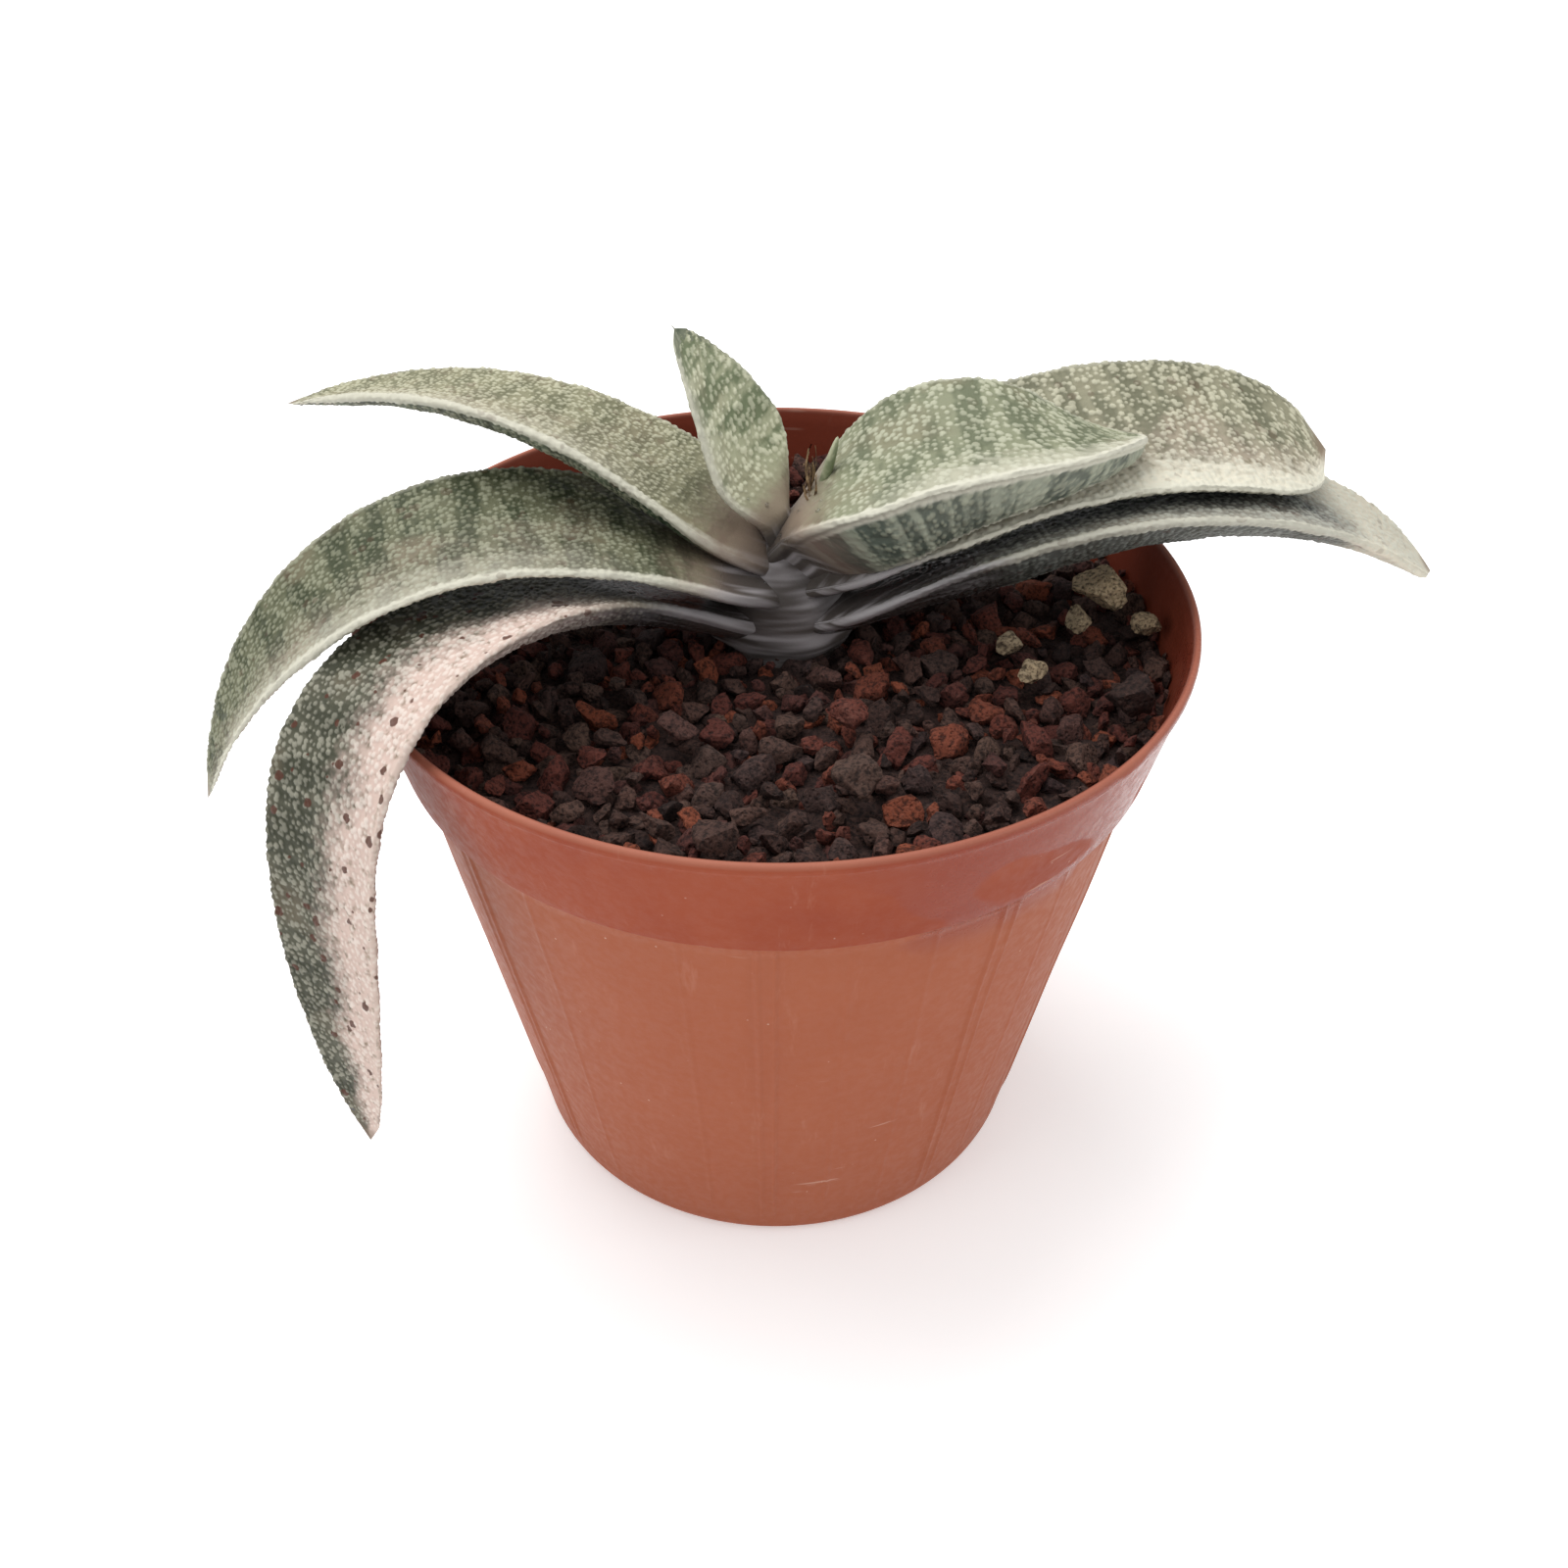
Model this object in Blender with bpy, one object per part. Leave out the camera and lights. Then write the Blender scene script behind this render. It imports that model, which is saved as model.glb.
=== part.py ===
"""A gasteria in a 12 cm nursery pot: two opposite rows of keeled leaves on a short stem, lava grit, potting mix.

The frame has its origin at the middle of the pot's flat underside, +Z up. Lengths are in metres.
"""
import math

import bmesh
import bpy
from mathutils import Matrix, Vector, noise
from mathutils.bvhtree import BVHTree

MM = 0.001
GAP = 0.3 * MM  # clearance between pieces that touch on the real plant

# ---- Pot ---------------------------------------------------------------------------------------------------------
RIM_RADIUS = 60 * MM
POT_HEIGHT = 96 * MM
BASE_RADIUS = 41.5 * MM
WALL = 1.2 * MM
FLOOR = 1.6 * MM
COLLAR_HEIGHT = 17.5 * MM
COLLAR_FLARE = 4.0 * MM  # how much wider the rim is than the collar's lower edge
COLLAR_STEP = 1.6 * MM  # ledge under the collar
CORNER = 3 * MM  # rounding between the wall and the underside
DRAIN_HOLES = 6
DRAIN_RADIUS = 4 * MM
DRAIN_CIRCLE = 27 * MM
POT_SIDES = 96
DRAIN_SIDES = 16

# ---- Filling -----------------------------------------------------------------------------------------------------
FREEBOARD = 7.5 * MM  # from the rim down to the middle of the grit
GRIT_DEPTH = 14 * MM
GRIT_BUMP = 0.9 * MM
GRIT_REACH = 1.5 * MM  # how far round a leaf the grit is pressed down
GRIT_SIDES = 60
GRIT_ROWS = 13
MIX_SIDES = 48
GRIT_TOP = POT_HEIGHT - FREEBOARD
MIX_TOP = GRIT_TOP - GRIT_DEPTH

# ---- Stem and roots ----------------------------------------------------------------------------------------------
CROWN = Vector((0.5 * MM, 2 * MM, GRIT_TOP))  # where the stem's axis meets the surface of the grit
CORE_RADIUS = 2.0 * MM  # the stem between the leaf bases
STOCK_RADIUS = 7 * MM  # the thick part in the ground
STOCK_TOP = 4 * MM  # below the grit's surface
STOCK_LENGTH = 26 * MM
STEM_SIDES = 24
STEM_TO_LEAF = 1.5 * MM  # from the stem's top up to the base of the youngest leaf
ROOT_RADIUS = 1.7 * MM
ROOT_LENGTH = 34 * MM
ROOT_TURNS = (25, 115, 205, 295)  # degrees
ROOT_POINTS = 9
ROOT_SIDES = 8

# ---- Leaves ------------------------------------------------------------------------------------------------------
# rise: height of the base above CROWN; aside: its shift along +Y. pitch, heading and roll are in degrees, at even
# steps from the base to the tip. taper: how late the leaf closes. keel_shift: how far the keel lies to the near side.
OVERHANG = 2.4  # the leaf that hangs over the rim is this many rim radii long
UPPER_OVERHANG = 1.78  # the same for the leaf above it, which clears the rim
LEAVES = (
    dict(name="leaf_left_3", rise=2.0 * MM, aside=1 * MM, length=OVERHANG * RIM_RADIUS, width=25 * MM,
         depth=5.5 * MM, pitch=(29, 17, -13, -73, -88, -94),
         heading=(196, 218, 233, 236, 235), roll=(4, 14, 8, 0, 0),
         base_width=0.48, taper=2.8, keel_shift=0.4, near=1),
    dict(name="leaf_left_2", rise=9 * MM, aside=-2 * MM, length=UPPER_OVERHANG * RIM_RADIUS, width=29 * MM,
         depth=5 * MM, pitch=(36, 17, -17, -50, -78), heading=(190, 193, 194, 193, 190), roll=(2, -2, -8, -12),
         base_width=0.54, taper=2.1, keel_shift=-0.3, near=1),
    dict(name="leaf_left_1", rise=13 * MM, aside=-0.5 * MM, length=81 * MM, width=25 * MM,
         depth=7.5 * MM, pitch=(45, 23, -4, -25), heading=(168, 165, 163, 168), roll=(-4, 8, 10, 8),
         base_width=0.60, taper=1.9, keel_shift=0.3, near=1),
    dict(name="leaf_centre", rise=19 * MM, aside=0, length=29.5 * MM, width=20.5 * MM,
         depth=3.6 * MM, pitch=(70, 62, 50), heading=(175, 172, 168), roll=(-22, -17, -5),
         base_width=0.55, taper=2.0, keel_shift=0.0, near=1),
    dict(name="leaf_right_1", rise=16.5 * MM, aside=1 * MM, length=56 * MM, width=28 * MM,
         depth=11 * MM, pitch=(52, 27, -4, -20), heading=(2, 0, 6, 30), roll=(-12, 4, 4, -18),
         base_width=0.60, taper=2.2, keel_shift=0.7, near=-1),
    dict(name="leaf_right_2", rise=9 * MM, aside=0, length=88 * MM, width=28 * MM,
         depth=8.5 * MM, pitch=(38, 20, -4, -27), heading=(11, 13, 14, 14), roll=(0, 10, 14, 20),
         base_width=0.60, taper=12.0, keel_shift=0.3, near=-1),
    dict(name="leaf_right_3", rise=2.5 * MM, aside=0, length=109 * MM, width=29 * MM,
         depth=10 * MM, pitch=(28, 16, -12, -47), heading=(5, 8, 11, 10), roll=(-8, -15, -4, 12),
         base_width=0.54, taper=4.0, keel_shift=0.1, near=-1),
)
LEAF_RINGS = 26
STEPS_PER_RING = 8
RIM_OF_LEAF = 1.3 * MM  # thickness of the horny edge
SHEATH_DEPTH = 5.2 * MM  # keel depth at the very base, where the leaf is a thin channel
SHEATH_CHANNEL = 2.8 * MM
BLADE_CHANNEL = 0.8 * MM
CLASP = 1.0 * MM  # how far the edges reach round the stem
LAST_RING = 0.965  # share of the length where the last ring stands; the tip closes to a point

BUD_PLACE = Vector((6 * MM, 5 * MM, 21 * MM))
BUD_WIDTH = 3 * MM
BUD_LENGTH = 7 * MM
BUD_LEAN = 0.25  # how far the bud leans to the right, as a share of its length
BUD_RINGS = 6
BUD_SIDES = 8
SHEATH_PLACE = Vector((4.8 * MM, 4 * MM, 20 * MM))
SHEATH_BEND = 4 * MM
SHEATH_HEIGHT = 6 * MM
SHEATH_THICKNESS = 0.5 * MM
SHEATH_RINGS = 9
SHEATH_ANGLE = 55  # degrees to each side

# ---- Stones ------------------------------------------------------------------------------------------------------
# name, distance and direction from the pot's axis as (share of the pot's inner radius, degrees), size
PUMICE = (
    ("pumice_stone_1", (0.86, 8), 9 * MM),
    ("pumice_stone_2", (0.78, 1), 4.5 * MM),
    ("pumice_stone_3", (0.94, 359), 5 * MM),
    ("pumice_stone_4", (0.59, 350), 4.5 * MM),
    ("pumice_stone_5", (0.67, 340), 4.5 * MM),
)
LAVA = (
    ("lava_stone_1", (0.91, 338), 7 * MM),
    ("lava_stone_2", (0.70, 285), 7 * MM),
    ("lava_stone_3", (0.45, 292), 6 * MM),
    ("lava_stone_4", (0.86, 262), 6.5 * MM),
    ("lava_stone_5", (0.52, 244), 6 * MM),
    ("lava_stone_6", (0.84, 92), 7 * MM),
    ("lava_stone_7", (0.80, 128), 6 * MM),
)

# name: (colour, roughness)
FINISHES = {
    "pot_plastic": ((0.40, 0.115, 0.070), 0.42),
    "potting_mix": ((0.045, 0.028, 0.020), 0.95),
    "lava_grit": ((0.075, 0.035, 0.030), 0.88),
    "pumice": ((0.42, 0.33, 0.22), 0.90),
    "stem_tissue": ((0.30, 0.20, 0.17), 0.60),
    "root_tissue": ((0.55, 0.44, 0.30), 0.70),
    "leaf_skin": ((0.30, 0.34, 0.22), 0.55),
    "dry_sheath": ((0.30, 0.18, 0.09), 0.80),
}


def clear_scene():
    for obj in list(bpy.data.objects):
        bpy.data.objects.remove(obj, do_unlink=True)


def add_object(name, mesh, finish):
    """One named object with a material of its own."""
    colour, roughness = FINISHES[finish]
    material = bpy.data.materials.new(f"{name}_{finish}")
    material.use_nodes = True
    shader = material.node_tree.nodes["Principled BSDF"]
    shader.inputs["Base Color"].default_value = (*colour, 1)
    shader.inputs["Roughness"].default_value = roughness
    shader.inputs["Metallic"].default_value = 0
    mesh.materials.append(material)
    obj = bpy.data.objects.new(name, mesh)
    bpy.context.collection.objects.link(obj)
    return obj


def mesh_of(bm, name):
    """Faces turned outwards, shaded smooth up to a sharp angle."""
    bmesh.ops.recalc_face_normals(bm, faces=bm.faces)
    mesh = bpy.data.meshes.new(name)
    bm.to_mesh(mesh)
    bm.free()
    mesh.shade_smooth()
    mesh.set_sharp_from_angle(angle=math.radians(40))
    return mesh


def loft(bm, rings, end_point=None):
    """Faces between rings of the same number of points. The last ring closes on end_point, or with a flat face."""
    rows = [[bm.verts.new(point) for point in ring] for ring in rings]
    count = len(rows[0])
    for low, high in zip(rows, rows[1:]):
        for i in range(count):
            bm.faces.new((low[i], low[(i + 1) % count], high[(i + 1) % count], high[i]))
    bm.faces.new(rows[0])
    if end_point is None:
        bm.faces.new(rows[-1])
    else:
        tip = bm.verts.new(end_point)
        for i in range(count):
            bm.faces.new((rows[-1][i], rows[-1][(i + 1) % count], tip))


def turned(name, profile, sides, finish):
    """A solid turned about Z. profile lists (radius, height); its first and last points are on the axis, level with
    their neighbours, so both ends are flat."""
    bm = bmesh.new()
    turns = [2 * math.pi * i / sides for i in range(sides)]
    rings = []
    for radius, height in profile[1:-1]:
        rings.append([(radius * math.cos(a), radius * math.sin(a), height) for a in turns])
    loft(bm, rings)
    return add_object(name, mesh_of(bm, name), finish)


def cut(obj, cutter):
    """A Boolean difference. The cutter stays as a guide that is never rendered."""
    cutter.hide_render = True
    cutter.display_type = "WIRE"
    modifier = obj.modifiers.new(f"cut_{cutter.name}", "BOOLEAN")
    modifier.operation = "DIFFERENCE"
    modifier.solver = "EXACT"
    modifier.object = cutter


# ---- Pot ---------------------------------------------------------------------------------------------------------
def collar_foot():
    return POT_HEIGHT - COLLAR_HEIGHT


def body_radius(height):
    """Outer radius of the tapered body, under the collar."""
    top = RIM_RADIUS - COLLAR_FLARE - COLLAR_STEP
    share = (height - CORNER) / (collar_foot() - CORNER)
    return BASE_RADIUS + (top - BASE_RADIUS) * share


def collar_radius(height):
    share = (height - collar_foot()) / COLLAR_HEIGHT
    return RIM_RADIUS - COLLAR_FLARE * (1 - share)


def inner_radius(height):
    """Radius of the pot's inside. The shoulder under the collar is as thick as the step is wide."""
    if height < collar_foot():
        return body_radius(max(height, CORNER)) - WALL
    rise = min((height - collar_foot()) / (2 * WALL), 1)
    return (body_radius(collar_foot()) - WALL) * (1 - rise) + (collar_radius(height) - WALL) * rise


def pot():
    corner = [math.radians(90 - 22.5 * i) for i in range(5)]
    outside = [(BASE_RADIUS - CORNER * (1 - math.cos(a)), CORNER * (1 - math.sin(a))) for a in corner]
    outside += [(body_radius(collar_foot()), collar_foot())]
    outside += [(collar_radius(collar_foot()), collar_foot())]
    lip = WALL / 2
    bevel = 0.3 * lip
    outside += [(RIM_RADIUS, POT_HEIGHT - lip), (RIM_RADIUS - bevel, POT_HEIGHT - bevel)]
    outside += [(RIM_RADIUS - lip, POT_HEIGHT), (RIM_RADIUS - WALL + bevel, POT_HEIGHT - bevel)]
    steps = (POT_HEIGHT - lip, collar_foot() + 2 * WALL, collar_foot(), CORNER + FLOOR)
    inside = [(inner_radius(height), height) for height in steps]
    inside += [(inner_radius(CORNER) - 0.3 * CORNER, FLOOR + 0.3 * CORNER)]
    inside += [(inner_radius(CORNER) - CORNER, FLOOR)]
    body = turned("pot", [(0, 0)] + outside + inside + [(0, FLOOR)], POT_SIDES, "pot_plastic")
    for i in range(DRAIN_HOLES):
        turn = 2 * math.pi * i / DRAIN_HOLES
        bm = bmesh.new()
        place = Matrix.Translation((DRAIN_CIRCLE * math.cos(turn), DRAIN_CIRCLE * math.sin(turn), FLOOR / 2))
        bmesh.ops.create_cone(bm, cap_ends=True, segments=DRAIN_SIDES, radius1=DRAIN_RADIUS, radius2=DRAIN_RADIUS,
                              depth=4 * FLOOR, matrix=place)
        cut(body, add_object(f"drain_cutter_{i}", mesh_of(bm, "drain_cutter"), "pot_plastic"))
    return body


# ---- Leaves ------------------------------------------------------------------------------------------------------
def along(values, share):
    """Smooth curve through evenly spaced values (Catmull-Rom), read at share 0 to 1."""
    last = len(values) - 1
    padded = [2 * values[0] - values[1], *values, 2 * values[-1] - values[-2]]
    place = min(max(share, 0), 1) * last
    i = min(int(place), last - 1)
    f = place - i
    a, b, c, d = padded[i:i + 4]
    return 0.5 * (2 * b + (c - a) * f + (2 * a - 5 * b + 4 * c - d) * f**2 + (3 * b - a - 3 * c + d) * f**3)


def leaf_frames(leaf, shares):
    """(centre, direction, side, up) at each share of the leaf's length, walked from the stem to the tip."""
    heading = math.radians(leaf["heading"][0])
    out = CORE_RADIUS + 3 * GAP - SHEATH_CHANNEL * math.sin(math.radians(leaf["pitch"][0]))
    place = CROWN + Vector((out * math.cos(heading), out * math.sin(heading) + leaf["aside"], leaf["rise"]))
    frames = []
    before = 0
    for share in shares:
        for i in range(STEPS_PER_RING):
            middle = before + (share - before) * (i + 0.5) / STEPS_PER_RING
            place = place + leaf_direction(leaf, middle) * leaf["length"] * (share - before) / STEPS_PER_RING
        before = share
        direction = leaf_direction(leaf, share)
        turn = math.radians(along(leaf["heading"], share))
        flat = Vector((-math.sin(turn), math.cos(turn), 0))
        side = Matrix.Rotation(math.radians(along(leaf["roll"], share)), 3, direction) @ flat
        frames.append((place.copy(), direction, side, direction.cross(side)))
    return frames


def leaf_direction(leaf, share):
    pitch = math.radians(along(leaf["pitch"], share))
    turn = math.radians(along(leaf["heading"], share))
    return Vector((math.cos(pitch) * math.cos(turn), math.cos(pitch) * math.sin(turn), math.sin(pitch)))


def leaf_section(leaf, share):
    """Points (across, up, back) of the leaf's section: a channelled upper face over an off-centre keel."""
    closing = max(1 - share ** leaf["taper"], 0) ** 0.6
    widening = 1 - (1 - leaf["base_width"]) * max(1 - share / 0.35, 0) ** 2
    half = leaf["width"] / 2 * widening * closing
    blade = min(share / 0.3, 1)
    depth = (SHEATH_DEPTH + (leaf["depth"] - SHEATH_DEPTH) * blade) * closing * (1 - 0.3 * share)
    channel = (SHEATH_CHANNEL + (BLADE_CHANNEL - SHEATH_CHANNEL) * blade) * closing
    edge = min(RIM_OF_LEAF, 0.45 * depth)
    clasp = CLASP * max(1 - share / 0.15, 0)
    keel = leaf["near"] * leaf["keel_shift"] * half
    across = (-1, -0.55, 0, 0.55, 1)
    points = [(u * half, -channel * (1 - u * u), clasp * u * u) for u in across]
    points += [(half, -edge, clasp), (0.55 * (half + keel), -edge - 0.58 * (depth - edge), clasp * 0.4)]
    points += [(keel, -depth, 0)]
    points += [(0.55 * (keel - half), -edge - 0.58 * (depth - edge), clasp * 0.4), (-half, -edge, clasp)]
    return points


def leaf(spec):
    shares = [LAST_RING * i / (LEAF_RINGS - 1) for i in range(LEAF_RINGS)]
    frames = leaf_frames(spec, shares + [1])
    rings = []
    for share, (place, direction, side, up) in zip(shares, frames):
        section = leaf_section(spec, share)
        rings.append([place + side * x + up * y - direction * back for x, y, back in section])
    bm = bmesh.new()
    loft(bm, rings, end_point=frames[-1][0])
    return add_object(spec["name"], mesh_of(bm, spec["name"]), "leaf_skin")


# ---- Stem and roots ----------------------------------------------------------------------------------------------
def core_height():
    """The stem ends just under the youngest leaf's base."""
    centre = next(leaf for leaf in LEAVES if leaf["name"] == "leaf_centre")
    return centre["rise"] - STEM_TO_LEAF


def stem():
    top = -STOCK_TOP
    profile = (
        (0, top - STOCK_LENGTH),
        (0.55 * STOCK_RADIUS, top - STOCK_LENGTH),
        (0.85 * STOCK_RADIUS, top - 0.8 * STOCK_LENGTH),
        (STOCK_RADIUS, top - 0.55 * STOCK_LENGTH),
        (STOCK_RADIUS, top - 0.15 * STOCK_LENGTH),
        (0.8 * STOCK_RADIUS, top),
        (CORE_RADIUS, top + 0.06 * STOCK_LENGTH),
        (CORE_RADIUS, core_height()),
        (0, core_height()),
    )
    body = turned("stem", profile, STEM_SIDES, "stem_tissue")
    body.data.transform(Matrix.Translation(CROWN))
    return body


def root_path(turn):
    """Out of the stock's side, then steeply down, ending above the pot's floor."""
    angle = math.radians(turn)
    outwards = Vector((math.cos(angle), math.sin(angle), 0))
    start = CROWN - Vector((0, 0, STOCK_TOP + 0.6 * STOCK_LENGTH)) + outwards * (STOCK_RADIUS + ROOT_RADIUS)
    points = []
    for i in range(ROOT_POINTS):
        share = i / (ROOT_POINTS - 1)
        spread = 0.35 * ROOT_LENGTH * math.sin(share * math.pi / 2)
        points.append(start + outwards * spread - Vector((0, 0, 0.92 * ROOT_LENGTH * share)))
    return points


def root(name, turn, extra=0.0):
    """One tapered root, or with extra thickness the channel that it grew through."""
    points = root_path(turn)
    if extra:
        back = (points[0] - points[1]).normalized() * 2 * ROOT_RADIUS
        points = [points[0] + back, *points, points[-1] - Vector((0, 0, extra))]
    radii = [ROOT_RADIUS * (1 - 0.5 * i / (len(points) - 1)) + 1.5 * extra for i in range(len(points))]
    bm = bmesh.new()
    loft(bm, tube_rings(points, radii, ROOT_SIDES))
    return add_object(name, mesh_of(bm, name), "root_tissue")


def tube_rings(points, radii, sides):
    rings = []
    for i, (point, radius) in enumerate(zip(points, radii)):
        direction = (points[min(i + 1, len(points) - 1)] - points[max(i - 1, 0)]).normalized()
        across = direction.orthogonal().normalized()
        other = direction.cross(across)
        angles = [2 * math.pi * k / sides for k in range(sides)]
        rings.append([point + across * radius * math.cos(a) + other * radius * math.sin(a) for a in angles])
    return rings


def bud():
    """The tip of a new leaf, standing in the channel of the youngest leaf of the right row."""
    place = CROWN + BUD_PLACE
    rings = []
    angles = [2 * math.pi * k / BUD_SIDES for k in range(BUD_SIDES)]
    for i in range(BUD_RINGS):
        share = i / BUD_RINGS
        reach = (1 - share**2) ** 0.5
        wide = BUD_WIDTH / 2 * reach
        thick = BUD_WIDTH / 4 * reach
        lean = Vector((BUD_LEAN * BUD_LENGTH * share, 0, BUD_LENGTH * share))
        rings.append([place + lean + Vector((thick * math.cos(a), wide * math.sin(a), 0)) for a in angles])
    bm = bmesh.new()
    loft(bm, rings, end_point=place + Vector((BUD_LEAN * BUD_LENGTH, 0, BUD_LENGTH)))
    return add_object("leaf_bud", mesh_of(bm, "leaf_bud"), "leaf_skin")


def dried_sheath():
    """A papery scrap of an old leaf base, standing between the bud and the centre leaf."""
    place = CROWN + SHEATH_PLACE
    half = SHEATH_THICKNESS / 2
    rings = []
    for i in range(SHEATH_RINGS):
        share = i / (SHEATH_RINGS - 1)
        turn = math.radians(SHEATH_ANGLE * (2 * share - 1))
        out = Vector((math.cos(turn), math.sin(turn), 0))
        foot = place + out * SHEATH_BEND - Vector((SHEATH_BEND, 0, 0))
        top = Vector((0, 0, SHEATH_HEIGHT * (0.55 + 0.45 * math.sin(math.pi * share))))
        rings.append([foot - out * half, foot + out * half, foot + out * half + top, foot - out * half + top])
    bm = bmesh.new()
    loft(bm, rings)
    return add_object("dried_sheath", mesh_of(bm, "dried_sheath"), "dry_sheath")


# ---- Filling -----------------------------------------------------------------------------------------------------
def potting_mix():
    """Fills the pot under the grit, with a hollow for the stock and a channel for each root."""
    heights = (FLOOR + GAP, CORNER + FLOOR, collar_foot(), MIX_TOP)
    heights = [height for height in heights if height <= MIX_TOP]
    if heights[-1] < MIX_TOP:
        heights.append(MIX_TOP)
    inset = [CORNER, 0.3 * CORNER] + [0] * len(heights)
    profile = [(inner_radius(height) - GAP - inset[i], height) for i, height in enumerate(heights)]
    body = turned("potting_mix", [(0, heights[0])] + profile + [(0, MIX_TOP)], MIX_SIDES, "potting_mix")
    bm = bmesh.new()
    hollow = STOCK_RADIUS + GAP
    depth = STOCK_TOP + STOCK_LENGTH + GAP
    place = Matrix.Translation(CROWN - Vector((0, 0, depth / 2)))
    bmesh.ops.create_cone(bm, cap_ends=True, segments=STEM_SIDES, radius1=hollow, radius2=hollow, depth=depth,
                          matrix=place)
    cut(body, add_object("stock_cutter", mesh_of(bm, "stock_cutter"), "potting_mix"))
    for i, turn in enumerate(ROOT_TURNS):
        cut(body, root(f"root_cutter_{i}", turn, extra=GAP))
    return body


def underside_of(objects):
    """A function that gives the height of the lowest surface over (x, y), or None."""
    trees = []
    for obj in objects:
        mesh = obj.data
        points = [vertex.co for vertex in mesh.vertices]
        trees.append(BVHTree.FromPolygons(points, [face.vertices for face in mesh.polygons]))

    def lowest(x, y):
        found = [tree.ray_cast(Vector((x, y, 0)), Vector((0, 0, 1)))[0] for tree in trees]
        heights = [point.z for point in found if point]
        return min(heights) if heights else None

    return lowest


def grit_height(x, y, over):
    """The bumpy surface of the grit, pressed down under whatever lies on it."""
    bump = GRIT_BUMP * noise.noise(Vector((x, y, 0)) / (4 * MM))
    height = GRIT_TOP + bump
    turns = [math.radians(45 * i) for i in range(8)]
    places = [(x, y)] + [(x + GRIT_REACH * math.cos(a), y + GRIT_REACH * math.sin(a)) for a in turns]
    for place in places:
        low = over(*place)
        if low is not None:
            height = min(height, low - 2 * GAP)
    return height


def lava_grit(over):
    """A ring-shaped layer: bumpy on top, round the stem in the middle, against the pot at its edge."""
    turns = [2 * math.pi * i / GRIT_SIDES for i in range(GRIT_SIDES)]
    hole = STOCK_RADIUS + GAP
    bottom = MIX_TOP + GAP
    outer_top = inner_radius(GRIT_TOP - GRIT_BUMP) - GAP
    rings = []
    for j in range(GRIT_ROWS):
        share = j / (GRIT_ROWS - 1)
        ring = []
        for turn in turns:
            inside = CROWN.xy.to_3d() + Vector((hole * math.cos(turn), hole * math.sin(turn), 0))
            outside = Vector((outer_top * math.cos(turn), outer_top * math.sin(turn), 0))
            place = inside.lerp(outside, share)
            ring.append(Vector((place.x, place.y, grit_height(place.x, place.y, over))))
        rings.append(ring)
    shoulder = (collar_foot() + 2 * WALL, collar_foot())
    wall = [height for height in shoulder if bottom < height < GRIT_TOP - 2 * GRIT_BUMP]
    for height in wall + [bottom]:
        radius = inner_radius(height) - GAP
        rings.append([Vector((radius * math.cos(a), radius * math.sin(a), height)) for a in turns])
    rings.append([Vector((hole * math.cos(a), hole * math.sin(a), bottom)) + CROWN.xy.to_3d() for a in turns])
    bm = bmesh.new()
    rows_of_points = [[bm.verts.new(point) for point in ring] for ring in rings]
    for low, high in zip(rows_of_points, rows_of_points[1:] + rows_of_points[:1]):
        for i in range(GRIT_SIDES):
            bm.faces.new((low[i], low[i - 1], high[i - 1], high[i]))
    return add_object("lava_grit", mesh_of(bm, "lava_grit"), "lava_grit")


def stone(name, spot, size, seed, finish, ground):
    """A broken stone: a faceted ball pushed in and out, then lowered until it rests on the grit."""
    bm = bmesh.new()
    bmesh.ops.create_icosphere(bm, subdivisions=2, radius=size / 2)
    offset = Vector((seed * 7.3, seed * 3.1, seed * 5.7))
    for vertex in bm.verts:
        dent = noise.noise(vertex.co / (0.45 * size) + offset)
        vertex.co *= 1 + 0.28 * dent
        vertex.co.z *= 0.75
    share, turn = spot
    radius = share * (inner_radius(GRIT_TOP) - GAP)
    x, y = radius * math.cos(math.radians(turn)), radius * math.sin(math.radians(turn))
    places = [vertex.co for vertex in bm.verts] + [face.calc_center_median() for face in bm.faces]
    lift = max(ground(place.x + x, place.y + y) - place.z for place in places)
    bmesh.ops.translate(bm, verts=bm.verts, vec=(x, y, lift + 1.5 * GAP))
    return add_object(name, mesh_of(bm, name), finish)


def surface_of(obj):
    """A function that gives the height of the object's top at (x, y)."""
    mesh = obj.data
    points = [vertex.co for vertex in mesh.vertices]
    tree = BVHTree.FromPolygons(points, [face.vertices for face in mesh.polygons])

    def height(x, y):
        hit = tree.ray_cast(Vector((x, y, 1)), Vector((0, 0, -1)))[0]
        return hit.z if hit else 0.0

    return height


def main():
    clear_scene()
    pot()
    stem()
    for i, turn in enumerate(ROOT_TURNS):
        root(f"root_{i + 1}", turn)
    leaves = [leaf(spec) for spec in LEAVES]
    bud()
    dried_sheath()
    potting_mix()
    ground = surface_of(lava_grit(underside_of(leaves)))
    for seed, (name, spot, size) in enumerate(PUMICE):
        stone(name, spot, size, seed, "pumice", ground)
    for seed, (name, spot, size) in enumerate(LAVA, start=len(PUMICE)):
        stone(name, spot, size, seed, "lava_grit", ground)


main()
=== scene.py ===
# %% [markdown]
# # A potted gasteria
# A gasteria is a small succulent with two opposite rows of thick, keeled leaves. Their skin is covered with
# pale warts, and each edge is a white, horny rim. This one stands in a 12 cm terracotta-coloured nursery
# pot, and its soil is topped with crushed lava.
#
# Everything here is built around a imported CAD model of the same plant. The CAD model says where each piece
# is and how large it is. This script gives each piece the surface that the real one has.

# %% Load the frame
import math
from types import SimpleNamespace

import bmesh
import bpy
import numpy as np
from mathutils import Matrix, Vector, noise
from mathutils.bvhtree import BVHTree


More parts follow.
